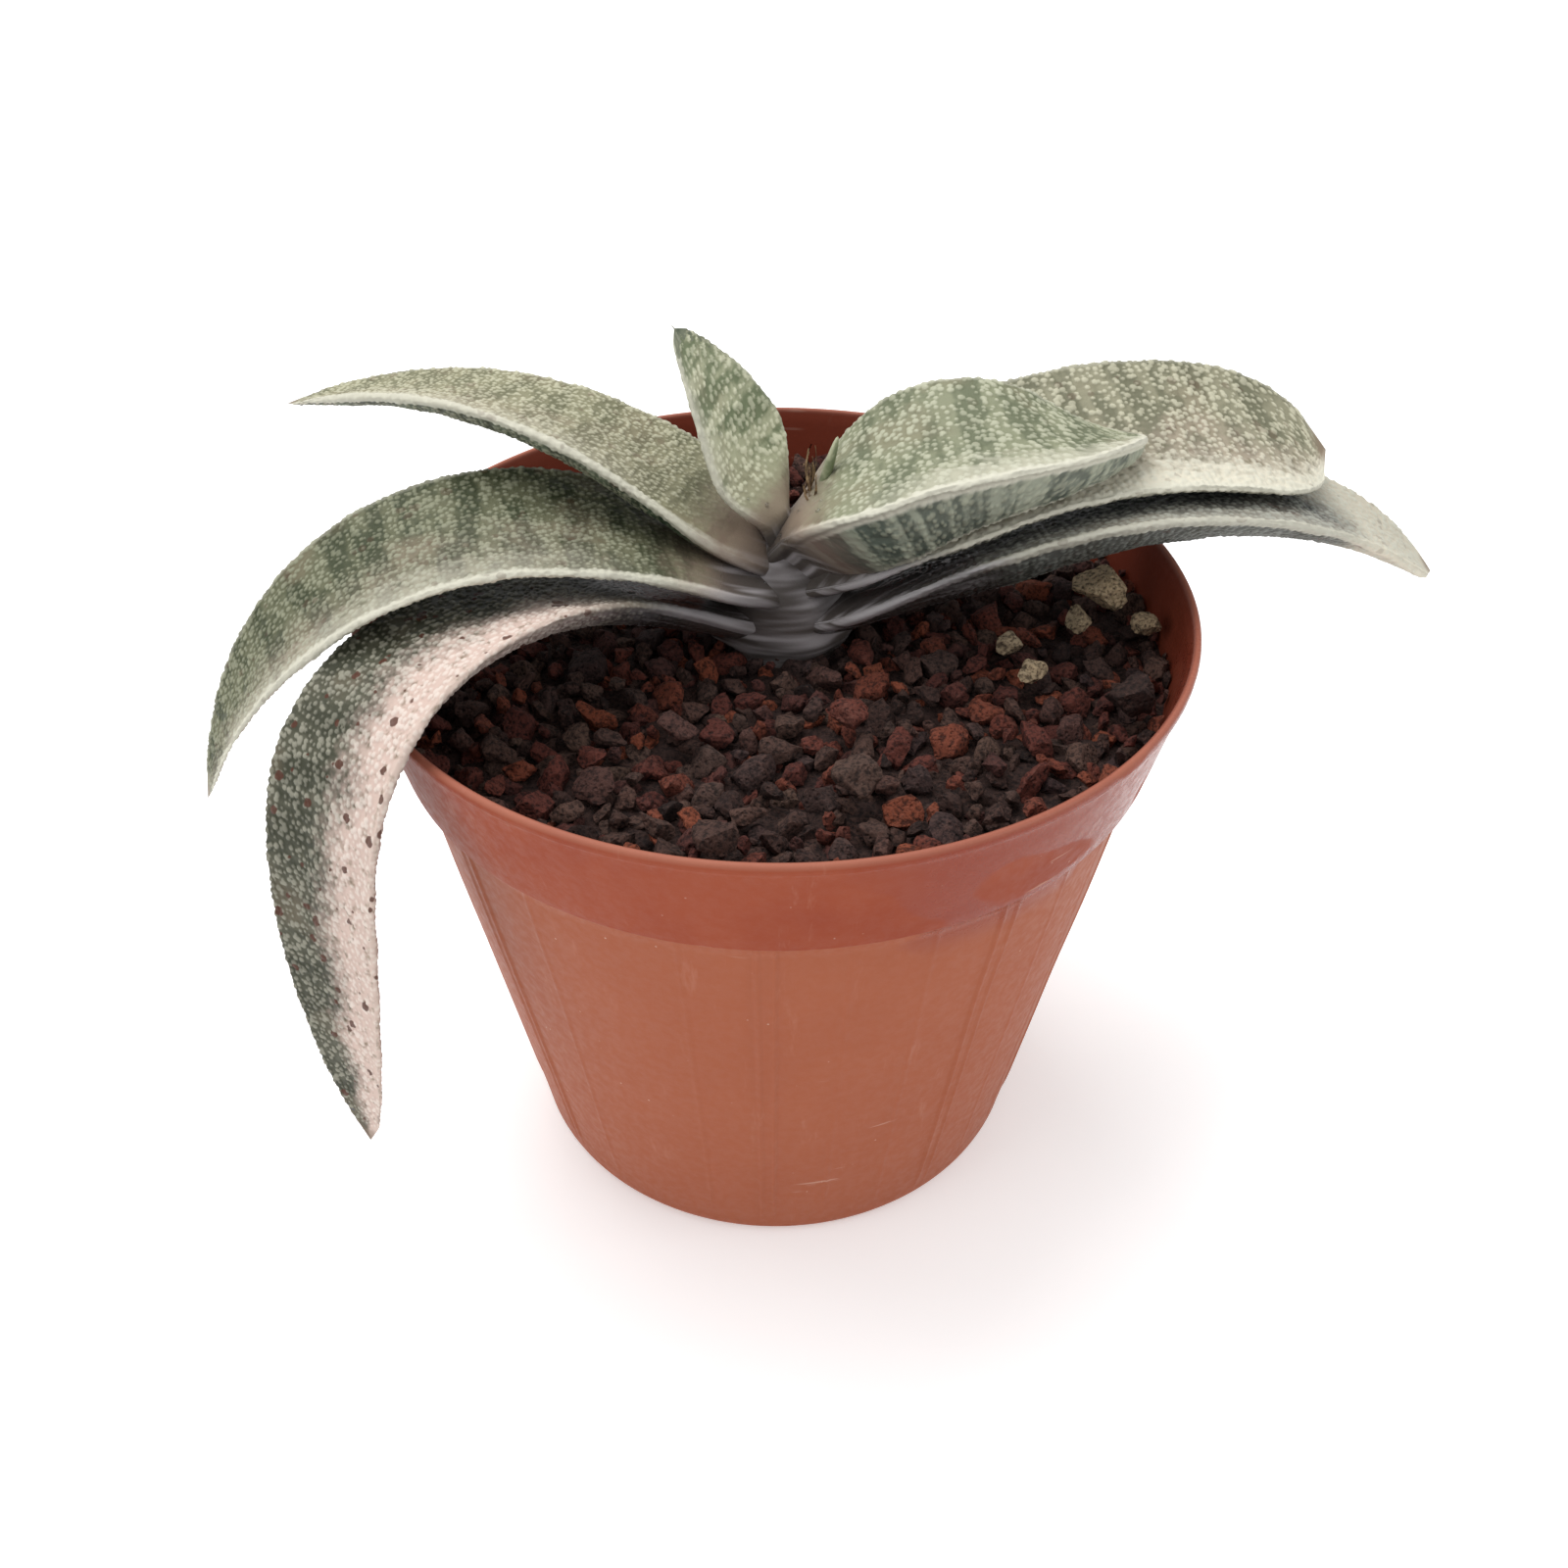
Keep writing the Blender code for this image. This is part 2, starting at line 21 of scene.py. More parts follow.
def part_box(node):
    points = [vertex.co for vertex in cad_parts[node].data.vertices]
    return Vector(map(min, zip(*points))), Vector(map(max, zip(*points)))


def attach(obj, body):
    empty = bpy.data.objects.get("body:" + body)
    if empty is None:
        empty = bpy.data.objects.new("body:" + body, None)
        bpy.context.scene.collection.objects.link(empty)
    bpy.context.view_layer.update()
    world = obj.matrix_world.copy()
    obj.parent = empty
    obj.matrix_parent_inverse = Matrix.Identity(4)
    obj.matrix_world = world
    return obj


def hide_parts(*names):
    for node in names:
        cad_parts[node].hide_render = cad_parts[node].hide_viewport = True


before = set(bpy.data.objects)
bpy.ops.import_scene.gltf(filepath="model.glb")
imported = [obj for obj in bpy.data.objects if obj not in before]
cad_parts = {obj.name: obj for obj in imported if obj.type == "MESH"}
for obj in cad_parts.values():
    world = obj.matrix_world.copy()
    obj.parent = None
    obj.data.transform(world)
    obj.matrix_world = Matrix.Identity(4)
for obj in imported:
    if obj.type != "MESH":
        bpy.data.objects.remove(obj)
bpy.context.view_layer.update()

MM = 0.001
RIM_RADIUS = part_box("pot")[1].x
POT_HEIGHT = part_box("pot")[1].z
print(f"rim radius {RIM_RADIUS / MM:.1f} mm, pot height {POT_HEIGHT / MM:.1f} mm")

# %% [markdown]
# ## Camera, floor and light
# The plant is seen from the front and from well above, about 39 degrees down, so that the leaves, the lava
# and the pot's collar all show. A large pale floor and big soft lamps give the even light of a studio
# table. Large lamps matter more than strong ones: each wart then has a soft light side and a soft dark
# side.

# %% Camera
LOOK_DOWN = 38.8
CAMERA_TILT = 0.5
CAMERA_PLACE = Vector((0.02 * RIM_RADIUS, -3.225 * RIM_RADIUS, 3.593 * RIM_RADIUS))
camera_data = bpy.data.cameras.new("camera")
camera_data.sensor_width = 36
camera_data.lens = 36
camera_data.clip_start = 0.01
camera = bpy.data.objects.new("camera", camera_data)
bpy.context.scene.collection.objects.link(camera)
look = Matrix.Rotation(math.radians(90 - LOOK_DOWN), 4, "X")
tilt = Matrix.Rotation(math.radians(CAMERA_TILT), 4, "Z")
camera.matrix_world = Matrix.Translation(CAMERA_PLACE) @ look @ tilt
bpy.context.scene.camera = camera
print("camera at", tuple(round(x, 4) for x in CAMERA_PLACE))

# %% Lamps and the room's glow
def lamp(name, place, size, power, target=(0, 0, 0.07)):
    """A square soft lamp that faces the target."""
    data = bpy.data.lights.new(name, "AREA")
    data.shape = "SQUARE"
    data.size = size
    data.energy = power
    obj = bpy.data.objects.new(name, data)
    bpy.context.scene.collection.objects.link(obj)
    direction = Vector(target) - Vector(place)
    obj.matrix_world = Matrix.Translation(place) @ direction.to_track_quat("-Z", "Y").to_matrix().to_4x4()
    return obj


lamp("lamp_above", (-0.25, 0.25, 1.0), 0.8, 8.0)
lamp("lamp_left", (-0.9, -0.5, 0.7), 0.7, 2.4)
lamp("lamp_right", (0.9, -0.3, 0.6), 0.6, 1.6)
world = bpy.data.worlds.new("studio_glow")
bpy.context.scene.world = world
world.use_nodes = True
world.node_tree.nodes["Background"].inputs["Color"].default_value = (0.97, 0.985, 1.0, 1)
world.node_tree.nodes["Background"].inputs["Strength"].default_value = 0.62
bpy.context.scene.view_settings.view_transform = "Standard"

# %% [markdown]
# ## Writing shader maths as Python
# A material is a graph of nodes. Written out link by link it is long and hard to read, so one small class
# wraps a socket and lets `+`, `-`, `*` and `**` add the Math nodes. Colours don't go through Math nodes,
# which would turn them grey: they are blended with Mix nodes.

# %% Value and Paint
class Value:
    """One output socket of a material, with Python's operators standing for Math nodes."""

    def __init__(self, paint, socket):
        self.paint = paint
        self.socket = socket

    def __add__(self, other):
        return self.paint.math("ADD", self, other)

    def __radd__(self, other):
        return self.paint.math("ADD", other, self)

    def __sub__(self, other):
        return self.paint.math("SUBTRACT", self, other)

    def __rsub__(self, other):
        return self.paint.math("SUBTRACT", other, self)

    def __mul__(self, other):
        return self.paint.math("MULTIPLY", self, other)

    def __rmul__(self, other):
        return self.paint.math("MULTIPLY", other, self)

    def __pow__(self, other):
        return self.paint.math("POWER", self, other)


class Paint:
    """A material with one Principled shader. Constants are set on the shader's own sockets."""

    def __init__(self, name, **constants):
        self.material = bpy.data.materials.new(name)
        self.material.use_nodes = True
        self.tree = self.material.node_tree
        self.shader = self.tree.nodes["Principled BSDF"]
        for key, value in constants.items():
            self.shader.inputs[key.replace("_", " ")].default_value = value

    def feed(self, socket, value):
        """Links a Value to a socket, or sets a plain number or colour on it."""
        if isinstance(value, Value):
            self.tree.links.new(value.socket, socket)
        elif isinstance(value, tuple) and len(value) == 3 and socket.type == "RGBA":
            socket.default_value = (*value, 1)
        else:
            socket.default_value = value

    def node(self, kind, settings=None, sockets=None, out=0):
        """Any node: its settings are set first, then its sockets get values or links."""
        made = self.tree.nodes.new(kind)
        for key, value in (settings or {}).items():
            setattr(made, key, value)
        for key, value in (sockets or {}).items():
            self.feed(made.inputs[key], value)
        return Value(self, made.outputs[out])

    def math(self, operation, a, b):
        return self.node("ShaderNodeMath", {"operation": operation}, {0: a, 1: b})

    def attribute(self, name, out=2):
        """A value stored on the mesh: out 2 is a number, out 1 a vector."""
        return self.node("ShaderNodeAttribute", {"attribute_name": name}, out=out)

    def stretch(self, vector, factors):
        """A vector multiplied part by part, which squeezes the pattern that reads it."""
        return self.node("ShaderNodeVectorMath", {"operation": "MULTIPLY"}, {0: vector, 1: factors})

    def noise(self, vector, scale, detail, roughness):
        sockets = {"Vector": vector, "Scale": scale, "Detail": detail, "Roughness": roughness}
        return self.node("ShaderNodeTexNoise", {}, sockets)

    def cells(self, vector, scale, dimensions="3D"):
        sockets = {"Vector": vector, "Scale": scale}
        return self.node("ShaderNodeTexVoronoi", {"voronoi_dimensions": dimensions}, sockets)

    def ramp(self, value, low, high, to_low=0.0, to_high=1.0):
        """A smooth step from low to high, either way round."""
        sockets = {"Value": value, "From Min": low, "From Max": high, "To Min": to_low, "To Max": to_high}
        return self.node("ShaderNodeMapRange", {"interpolation_type": "SMOOTHSTEP"}, sockets)

    def mix(self, factor, a, b, blend="MIX"):
        """A blend of two colours."""
        settings = {"data_type": "RGBA", "blend_type": blend}
        return self.node("ShaderNodeMix", settings, {0: factor, 6: a, 7: b}, out=2)

    def bump(self, height, strength, distance):
        return self.node("ShaderNodeBump", {}, {"Height": height, "Strength": strength, "Distance": distance})

    def finish(self, **sockets):
        """Links values to the shader's sockets and gives the material back."""
        for key, value in sockets.items():
            self.feed(self.shader.inputs[key.replace("_", " ")], value)
        print(f"material {self.material.name}: {len(self.tree.nodes)} nodes")
        return self.material


# %% Floor
def plain_mesh(name, points, faces, smooth=True):
    """An object from arrays of points and faces."""
    mesh = bpy.data.meshes.new(name)
    mesh.from_pydata(points, [], faces)
    if smooth:
        mesh.shade_smooth()
    obj = bpy.data.objects.new(name, mesh)
    bpy.context.scene.collection.objects.link(obj)
    return obj


FLOOR_REACH = 3.0
corners = [(-FLOOR_REACH, -FLOOR_REACH, 0), (FLOOR_REACH, -FLOOR_REACH, 0)]
corners += [(FLOOR_REACH, FLOOR_REACH, 0), (-FLOOR_REACH, FLOOR_REACH, 0)]
floor = plain_mesh("floor", corners, [(0, 1, 2, 3)], smooth=False)
floor_paint = Paint("floor_white", Base_Color=(0.93, 0.93, 0.93, 1), Roughness=0.9)
floor_paint.shader.inputs["Emission Color"].default_value = (1, 1, 1, 1)
floor_paint.shader.inputs["Emission Strength"].default_value = 0.30
floor.data.materials.append(floor_paint.material)

# %% [markdown]
# ## The shape of a leaf
# A gasteria leaf is a long tongue with a shallow channel above and an off-centre keel below. It could be
# sculpted, but a formula keeps it exact: the midrib is a curve given by its slope (pitch), its direction
# (heading) and its twist (roll), and at each place along it stands a cross-section. The cross-section
# narrows to the tip, and its edges lean back at the base to clasp the stem. The same formula shaped the CAD
# leaves, so the two agree, except that the bases are fuller here and the youngest leaf on the right is
# deeper, as they look from close by.

# %% Numbers that describe the leaves
LAVA_TOP = 0.0885
CROWN = np.array([0.0005, 0.002, LAVA_TOP])
CORE_RADIUS = 2.0 * MM
BASE_GAP = 0.9 * MM
SHEATH_CHANNEL = 2.8 * MM  # how deep the CAD leaves' bases are hollowed, which sets how far out they start
SHEATH_DEPTH = 5.2  # mm from a base's upper face to its keel, where a leaf doesn't give its own
BASE_CHANNEL = -1.2 * MM  # below zero, since the skins bulge where the bases press together
BLADE_CHANNEL = 0.8 * MM
BASE_EDGE = 2.6 * MM
HORNY_EDGE = 1.3 * MM
EDGE_OF_DEPTH = 0.45  # the most that the edges may take of a thin leaf's depth
CLASP = 1.0 * MM
JOINING = 12  # mm over which a base spreads to its full width, outside the crown
JOINED_WIDTH = 0.55  # what a base has of that width where it enters the crown
BURIED_LOSS = 0.9
TIP_POWER = 0.6  # lower is rounder
LAST_RING = 0.965  # share of the length where the sharp end starts
THINNING = 0.3
# Shares of the length where the base stops widening, the blade's own depth is reached, and the edge and the
# clasp of the base end.
WIDENING_END = 0.35
BLADE_START = 0.3
EDGE_END = 0.2
CLASP_END = 0.15
OVERHANG = 2.4  # lengths of the two leaves that hang past the rim, in rim radii
UPPER_OVERHANG = 1.78
# rise and aside place the base in mm. pitch, heading and roll are angles at even steps from base to tip. base
# is the width there, as a share. taper says how late the leaf closes, keel how far off the middle the keel
# is, and near which side is the front.
LEAVES = {
    "leaf_left_3": dict(
        rise=2.0, aside=1, length=OVERHANG * RIM_RADIUS / MM, width=25, depth=5.5,
        pitch=(29, 17, -13, -73, -88, -94), heading=(196, 218, 233, 236, 235), roll=(4, 14, 8, 0, 0),
        base=0.48, taper=2.8, keel=0.4, near=1),
    "leaf_left_2": dict(
        rise=9, aside=-2, length=UPPER_OVERHANG * RIM_RADIUS / MM, width=29, depth=5,
        pitch=(36, 17, -17, -50, -78), heading=(190, 193, 194, 193, 190), roll=(2, -2, -8, -12),
        base=0.54, taper=2.1, keel=-0.3, near=1),
    "leaf_left_1": dict(
        rise=13, aside=-0.5, length=81, width=25, depth=7.5, pitch=(45, 23, -4, -25),
        heading=(168, 165, 163, 168), roll=(-4, 8, 10, 8), base=0.60, taper=1.9, keel=0.3, near=1),
    "leaf_centre": dict(
        rise=19, aside=0, length=29.5, width=20.5, depth=3.6, pitch=(70, 62, 50),
        heading=(175, 172, 168), roll=(-22, -17, -5), base=0.55, taper=2.0, keel=0.0, near=1),
    "leaf_right_1": dict(
        rise=16.5, aside=1, length=56, width=28, depth=12.5, pitch=(52, 27, -4, -20),
        heading=(2, 0, 6, 30), roll=(-12, 4, 4, -18), base=0.60, taper=3.0, keel=0.85, near=-1,
        sheath=11.0),
    "leaf_right_2": dict(
        rise=9, aside=0, length=88, width=28, depth=8.5, pitch=(38, 20, -4, -27),
        heading=(11, 13, 14, 14), roll=(0, 10, 14, 20), base=0.60, taper=12.0, keel=0.3, near=-1),
    "leaf_right_3": dict(
        rise=2.5, aside=0, length=109, width=29, depth=10, pitch=(28, 16, -12, -47),
        heading=(5, 8, 11, 10), roll=(-8, -15, -4, 12), base=0.54, taper=4.0, keel=0.1, near=-1),
}
print(len(LEAVES), "leaves")

# %% Curves through evenly spaced values
def along(values, share):
    """Catmull-Rom through the values, read at an array of shares from 0 to 1."""
    padded = np.array([2 * values[0] - values[1], *values, 2 * values[-1] - values[-2]], float)
    place = np.clip(share, 0, 1) * (len(values) - 1)
    i = np.minimum(place.astype(int), len(values) - 2)
    f = place - i
    a, b, c, d = (padded[i + k] for k in range(4))
    return 0.5 * (2 * b + (c - a) * f + (2 * a - 5 * b + 4 * c - d) * f**2 + (3 * b - a - 3 * c + d) * f**3)


def midrib(leaf, shares):
    """Places, directions, sides and ups along the leaf, as arrays."""
    fine = np.linspace(0, 1, 1601)
    middle = (fine[1:] + fine[:-1]) / 2

    def direction_at(share):
        pitch = np.radians(along(leaf["pitch"], share))
        turn = np.radians(along(leaf["heading"], share))
        return np.stack([np.cos(pitch) * np.cos(turn), np.cos(pitch) * np.sin(turn), np.sin(pitch)], 1)

    first = math.radians(leaf["heading"][0])
    out = CORE_RADIUS + BASE_GAP - SHEATH_CHANNEL * math.sin(math.radians(leaf["pitch"][0]))
    start = CROWN + [out * math.cos(first), out * math.sin(first) + leaf["aside"] * MM, leaf["rise"] * MM]
    steps = direction_at(middle) * leaf["length"] * MM / len(middle)
    walked = start + np.concatenate([[[0, 0, 0]], np.cumsum(steps, 0)])
    places = np.stack([np.interp(shares, fine, walked[:, k]) for k in range(3)], 1)
    directions = direction_at(shares)
    places += directions * (np.minimum(shares, 0) * leaf["length"] * MM)[:, None]
    turn = np.radians(along(leaf["heading"], shares))
    roll = np.radians(along(leaf["roll"], shares))[:, None]
    flat = np.stack([-np.sin(turn), np.cos(turn), 0 * turn], 1)
    sides = flat * np.cos(roll) + np.cross(directions, flat) * np.sin(roll)
    return places, directions, sides, np.cross(directions, sides)


# %% Cross-sections
def section_sizes(leaf, shares):
    """Half width, depth, channel, edge, clasp and keel of the cross-section at each share, in metres."""
    buried = np.clip(shares / min(shares[0], -1e-6), 0, 1)
    shares = np.maximum(shares, 0)
    closing = np.maximum(1 - np.minimum(shares, LAST_RING) ** leaf["taper"], 0) ** TIP_POWER
    closing = closing * np.clip((1 - shares) / (1 - LAST_RING), 0, 1)
    widening = 1 - (1 - leaf["base"]) * np.maximum(1 - shares / WIDENING_END, 0) ** 2
    joined = np.minimum(shares * leaf["length"] / JOINING, 1)
    half = leaf["width"] * MM / 2 * widening * closing * np.sqrt(1 - BURIED_LOSS * buried**2)
    half = half * (JOINED_WIDTH + (1 - JOINED_WIDTH) * joined * (2 - joined))
    blade = np.minimum(shares / BLADE_START, 1)
    sheath = leaf.get("sheath", SHEATH_DEPTH) * MM
    depth = (sheath + (leaf["depth"] * MM - sheath) * blade) * closing * (1 - THINNING * shares)
    channel = (BASE_CHANNEL + (BLADE_CHANNEL - BASE_CHANNEL) * blade) * closing
    edge = HORNY_EDGE + (BASE_EDGE - HORNY_EDGE) * np.maximum(1 - shares / EDGE_END, 0)
    edge = np.minimum(edge, EDGE_OF_DEPTH * depth)
    clasp = CLASP * np.maximum(1 - shares / CLASP_END, 0)
    return half, depth, channel, edge, clasp, leaf["near"] * leaf["keel"] * half


def through_three(a, b, c, w):
    """A smooth arc that passes a at 0, b at a half and c at 1."""
    return a * (1 - w) * (1 - 2 * w) + b * 4 * w * (1 - w) + c * w * (2 * w - 1)


EDGE_POINTS = 6
FLANK_OF_WIDTH = 0.55


def leaf_grid(leaf, shares, spacing):
    """Rings of points round the leaf, and for each point how far it is above and how near the front edge."""
    places, directions, sides, ups = midrib(leaf, shares)
    half, depth, channel, edge, clasp, keel = (x[:, None] for x in section_sizes(leaf, shares))
    upper_count = int(leaf["width"] * MM / spacing)
    edge_count = EDGE_POINTS
    flank_count = int(FLANK_OF_WIDTH * leaf["width"] * MM / spacing)
    u = np.linspace(-1, 1, upper_count)[None]
    v = (np.arange(1, edge_count + 1) / (edge_count + 1))[None]
    w = (np.arange(flank_count) / flank_count)[None]
    top_x = u * half
    top_y = -channel * (1 - u * u)
    round_off = 0.35 * edge * np.sin(v * math.pi)
    side_y = -edge * v
    flank_y = through_three(-edge, -edge - 0.58 * (depth - edge), -depth, w)
    right_x = through_three(half, 0.55 * (half + keel), keel, w)
    left_x = through_three(-half, 0.55 * (keel - half), keel, w)
    x = np.hstack([top_x, half + round_off, right_x, keel, left_x[:, ::-1], -half - round_off[:, ::-1]])
    y = np.hstack([top_y, side_y, flank_y, -depth, flank_y[:, ::-1], side_y[:, ::-1]])
    lip = 1 - 0.6 * w  # falls from 1 at the edge to 0.4 at the keel
    back_edge = clasp + 0 * v
    back_flank = clasp * (1 - w)
    back = np.hstack([clasp * u * u, back_edge, back_flank, 0 * clasp, back_flank[:, ::-1], back_edge])
    points = places[:, None] + sides[:, None] * x[..., None] + ups[:, None] * y[..., None]
    points -= directions[:, None] * back[..., None]
    ones = np.ones_like(half)
    below = 0 * ones * w
    upper = np.hstack([ones + 0 * u, ones * (1 - v), below, 0 * ones, below, ones * (1 - v[:, ::-1])])
    front = np.hstack([u + 0 * ones, ones + 0 * v, ones * lip, 0 * ones, -ones * lip[:, ::-1], -ones + 0 * v])
    return points, upper, front * leaf["near"]


# %% [markdown]
# ## Warts
# The warts are small pale domes, about a millimetre across, packed closely but never in a perfect pattern.
# A bump map would fake their shading, yet the leaf's outline would stay smooth, and on the real plant it is
# visibly rough. So the warts are real: each cell of a jittered grid on the skin holds at most one dome, and
# the mesh is fine enough to carry it.

# %% Random numbers on a grid, warts and soft lumps
def scatter(i, j, seed):
    """A repeatable random number from 0 to 1 for each pair of whole numbers."""
    mixed = np.sin(i * 127.1 + j * 311.7 + seed * 74.7) * 43758.5453
    return mixed - np.floor(mixed)


FILLED_CELLS = 0.9  # share of the grid's cells that hold a wart
STRAY = 0.6  # how far a wart may lie off its cell's middle, as a share of the cell
FLATTENING = 0.7  # a power: 0.5 is a half ball, more is flatter at the foot


def domes(x, y, seed, size):
    """Round domes on a jittered grid: height from 0 to 1 at each place, both in metres."""
    cell_x = np.floor(x / size)
    cell_y = np.floor(y / size)
    height = np.zeros_like(x)
    for di in (-1, 0, 1):
        for dj in (-1, 0, 1):
            i = cell_x + di
            j = cell_y + dj
            centre_x = (i + 0.5 + STRAY * (scatter(i, j, seed) - 0.5)) * size
            centre_y = (j + 0.5 + STRAY * (scatter(i, j, seed + 1) - 0.5) + 0.5 * np.mod(i, 2)) * size
            radius = size * (0.30 + 0.30 * scatter(i, j, seed + 2))
            away = ((x - centre_x) ** 2 + (y - centre_y) ** 2) / radius**2
            present = scatter(i, j, seed + 3) < FILLED_CELLS
            dome = np.maximum(1 - away, 0) ** FLATTENING * (radius / size / 0.6) ** 0.5
            height = np.maximum(height, present * dome)
    return height


def lumps(x, y, seed, size):
    """Soft unevenness from 0 to 1, with lumps of about the given size."""
    i = np.floor(x / size)
    j = np.floor(y / size)
    fx = x / size - i
    fy = y / size - j
    fx = fx * fx * (3 - 2 * fx)
    fy = fy * fy * (3 - 2 * fy)
    low = scatter(i, j, seed) * (1 - fx) + scatter(i + 1, j, seed) * fx
    high = scatter(i, j + 1, seed) * (1 - fx) + scatter(i + 1, j + 1, seed) * fx
    return low * (1 - fy) + high * fy


# %% [markdown]
# ## Making the leaf objects
# The grid becomes a mesh of quads with a fan at each end. Besides its shape, each point keeps what the
# skin's colours need later: how far along the leaf it is, how far across, whether it is above or below, and
# how high its wart is. These are stored as attributes, which a material reads by name.

# %% Mesh from rings
def ring_mesh(name, rings, tip, attributes, inner_point):
    """A closed mesh from an array of rings, with a point that closes each end."""
    rows, count = rings.shape[:2]
    index = np.arange(rows * count).reshape(rows, count)
    after = np.roll(index, -1, 1)
    quads = np.stack([index[:-1], after[:-1], after[1:], index[1:]], -1).reshape(-1, 4)
    fans = []
    for row, centre, flip in ((index[0], rows * count, True), (index[-1], rows * count + 1, False)):
        ahead = np.roll(row, -1)
        ends = (ahead, row) if flip else (row, ahead)
        fans.append(np.stack([*ends, np.full(count, centre)], -1))
    mesh = bpy.data.meshes.new(name)
    points = np.vstack([rings.reshape(-1, 3), inner_point, tip])
    loops = np.concatenate([quads.ravel(), *[fan.ravel() for fan in fans]])
    sizes = np.concatenate([np.full(len(quads), 4), np.full(2 * count, 3)])
    mesh.vertices.add(len(points))
    mesh.vertices.foreach_set("co", points.ravel())
    mesh.loops.add(len(loops))
    mesh.loops.foreach_set("vertex_index", loops)
    mesh.polygons.add(len(sizes))
    mesh.polygons.foreach_set("loop_start", np.concatenate([[0], np.cumsum(sizes)[:-1]]))
    for key, values in attributes.items():
        flat = values.reshape(rows * count, -1)
        flat = np.vstack([flat, flat[0], flat[-1]])
        kind = "FLOAT_VECTOR" if flat.shape[1] == 3 else "FLOAT"
        layer = mesh.attributes.new(key, kind, "POINT")
        layer.data.foreach_set("vector" if kind == "FLOAT_VECTOR" else "value", flat.ravel())
    mesh.update()
    mesh.validate()
    mesh.shade_smooth()
    obj = bpy.data.objects.new(name, mesh)
    bpy.context.scene.collection.objects.link(obj)
    return obj


def outward(rings, centres):
    """The unit normals of a grid of rings, pointing away from the rings' centres."""
    down = np.gradient(rings, axis=0)
    ahead = np.roll(rings, -1, 1) - np.roll(rings, 1, 1)
    normal = np.cross(down, ahead)
    normal /= np.linalg.norm(normal, axis=2, keepdims=True) + 1e-12
    away = np.sum(normal * (rings - centres[:, None]), 2)
    return normal * np.sign(np.sum(away))


# %% How each leaf differs
WARTS = {  # size and height of the warts in mm
    "leaf_left_3": (0.95, 0.26),
    "leaf_left_2": (0.90, 0.26),
    "leaf_left_1": (0.85, 0.26),
    "leaf_centre": (1.10, 0.20),
    "leaf_right_1": (1.15, 0.30),
    "leaf_right_2": (1.10, 0.30),
    "leaf_right_3": (1.00, 0.26),
}
SUNK = 0.30  # mm by which the skin lies below the CAD surface, so that the warts end near it
SPACING = 0.25 * MM
RIM_START = 12  # mm from the base over which the white rim grows in, or less on a short leaf
# mm of a base inside the crown, where it isn't the usual depth, and mm that a horny tip stands out, if any
BURIED = {"leaf_centre": 8.0, "leaf_left_1": 4.0, "leaf_right_1": 6.5}
USUALLY_BURIED = 2.0
SPINE = {"leaf_right_1": 2.6, "leaf_left_1": 0.8, "leaf_centre": 1.2}
FRONT_RIM = 1.7 * MM
BACK_RIM = 0.7 * MM
RIM_RISE = 0.08  # mm
UNEVENNESS = 0.30  # mm


def leaf_skin_shape(name, leaf, seed):
    """A leaf with its warts, raised rim, horny tip and slight unevenness."""
    buried = BURIED.get(name, USUALLY_BURIED)
    shares = np.linspace(-buried / leaf["length"], 1 - 0.003, int(leaf["length"] * MM / SPACING))
    rings, upper, front = leaf_grid(leaf, shares, SPACING)
    normal = outward(rings, rings.mean(1))
    half = section_sizes(leaf, shares)[0]
    steps = np.linalg.norm(np.roll(rings, -1, 1) - rings, axis=2)
    x = np.cumsum(steps, 1) - np.cumsum(steps, 1)[:, -1:] / 2
    y = shares[:, None] * leaf["length"] * MM + 0 * x
    size, height = WARTS[name]
    wart = domes(y, x, seed, size * MM)
    run = shares[:, None] + 0 * x
    rim_width = np.where(front > 0, FRONT_RIM, BACK_RIM)
    rim = np.clip(1 - (1 - np.abs(front)) * half[:, None] / rim_width, 0, 1) * (upper > 0)
    rim = np.maximum(rim, np.clip((np.abs(front) - 0.95) / 0.05, 0, 1) * (upper == 0))
    rim = rim * np.clip(y / (min(RIM_START, 0.12 * leaf["length"]) * MM), 0, 1)
    ridge = np.clip(1 - (np.abs(front) - 0.4) / 0.14, 0, 1) * (upper == 0)
    grown = np.clip((run - 0.08) / 0.16, 0, 1) * np.clip((1 - run) / 0.03, 0, 1)
    wart = wart * grown * (1 - 0.30 * rim * (front > 0))
    uneven = lumps(y, x, seed + 9, 4 * MM) - 0.5 + 0.5 * (lumps(y / 5, x, seed + 11, 0.9 * MM) - 0.5)
    fade = np.clip((1 - run) / 0.05, 0, 1)
    lift = (wart * height + UNEVENNESS * uneven * (0.35 + 0.65 * grown) + RIM_RISE * rim - SUNK) * MM * fade
    rings = rings + normal * lift[..., None]
    places, directions = midrib(leaf, np.array([1.0]))[:2]
    tip = places + directions * SPINE.get(name, 0) * MM
    skin = np.stack([y, x, np.full_like(x, seed * 0.01)], -1)
    attributes = {"skin": skin, "run": run, "front": front, "upper": upper}
    attributes |= {"wart": wart, "rim": rim, "ridge": ridge}
    obj = ring_mesh(name + "_skin", rings, tip, attributes, rings[:1].mean(1))
    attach(obj, "root")
    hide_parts(name)
    return obj


leaf_objects = {}
for seed, (name, leaf) in enumerate(LEAVES.items()):
    leaf_objects[name] = leaf_skin_shape(name, leaf, seed * 5 + 3)
    print(name, len(leaf_objects[name].data.vertices), "points")

# %% [markdown]
# ## Leaf colours
# Up close the skin is not one green. Dark green bands run across the leaf, blurred like watercolour. The
# warts are cream, the rim is nearly white, and where the leaf leaves the stem it turns a wet purplish grey.
# Old leaves bleach to a pinkish cream on their lit side and carry small rusty scars. All this is mixed from
# noise that is stretched along or across the skin, and from the attributes that the mesh carries.

